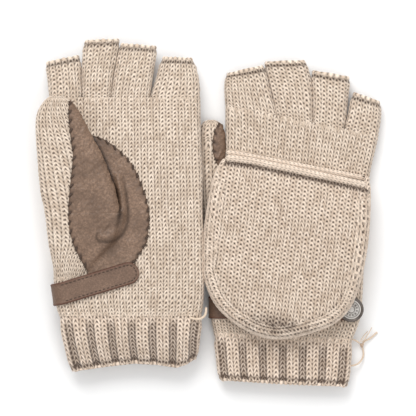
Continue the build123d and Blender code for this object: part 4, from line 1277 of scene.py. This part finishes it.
yarn("left_yarn_loop", LEFT_YARN, YARN_RADIUS * 1.35, "left_loose_yarn", "left_hand")
tie = yarn("right_tie", TIE_YARN, YARN_RADIUS, "right_tie_yarn", "right_hand")
back = yarn("right_tie_back", TIE_RETURN, YARN_RADIUS, "right_tie_return", "right_hand")
ends = [
    yarn("right_frayed_end_short", SHORT_END, YARN_RADIUS / 2, "right_yarn_end_short", "right_hand"),
    yarn("right_frayed_end_long", LONG_END, YARN_RADIUS / 2, "right_yarn_end_long", "right_hand"),
]
weave = Weave()
turn = np.linspace(0, 2 * math.pi, 40)
trefoil = [np.sin(turn) + 2 * np.sin(2 * turn), np.cos(turn) - 2 * np.cos(2 * turn), -1.1 * np.sin(3 * turn)]
strand(weave, np.array(TIE_KNOT) + 0.75 * np.stack(trefoil, -1) * 0.5, YARN_RADIUS)
knot = weave.make("right_tie_knot_turns", YARN)
settle(knot, "right_hand", "yarn", "right_tie_knot")

# ---- camera, light and floor ---------------------------------------------------------------
VIEW_WIDTH = 0.2829      # what the picture spans at the height of the mittens
CAMERA_HEIGHT = 2.2
SENSOR = 36.0

camera_data = bpy.data.cameras.new("camera")
camera_data.sensor_width = SENSOR
camera_data.lens = SENSOR * (CAMERA_HEIGHT - 0.012) / VIEW_WIDTH
camera = bpy.data.objects.new("camera", camera_data)
camera.location = (-0.00068, 0.00272, CAMERA_HEIGHT)
bpy.context.scene.collection.objects.link(camera)
bpy.context.scene.camera = camera

floor_mesh = bpy.data.meshes.new("floor")
FLOOR_HALF = 3.0
corners = [(x * FLOOR_HALF, y * FLOOR_HALF, 0) for x, y in ((-1, -1), (1, -1), (1, 1), (-1, 1))]
floor_mesh.from_pydata(corners, [], [(0, 1, 2, 3)])
floor = bpy.data.objects.new("floor", floor_mesh)
floor_shader = Shader("pale_floor", 0.9)
floor_shader.surface.inputs["Base Color"].default_value = (0.93, 0.93, 0.93, 1)
floor_mesh.materials.append(floor_shader.material)
bpy.context.scene.collection.objects.link(floor)


def area_light(name, place, size, power, aim=(0, 0, 0)):
    data = bpy.data.lights.new(name, "AREA")
    data.size, data.energy = size, power
    lamp = bpy.data.objects.new(name, data)
    lamp.location = place
    way = np.array(aim) - np.array(place)
    tip = math.atan2(math.hypot(way[0], way[1]), -way[2])
    lamp.rotation_euler = (tip, 0, math.atan2(way[0], -way[1]) + math.pi)
    bpy.context.scene.collection.objects.link(lamp)


area_light("window", (-0.25, 1.0, 1.1), 0.8, 12.5)
area_light("fill", (0.4, -0.5, 1.6), 1.2, 4.0)
world = bpy.data.worlds.new("studio")
world.use_nodes = True
world.node_tree.nodes["Background"].inputs["Color"].default_value = (1, 1, 1, 1)
world.node_tree.nodes["Background"].inputs["Strength"].default_value = 0.78
bpy.context.scene.world = world
bpy.context.scene.view_settings.view_transform = "Standard"
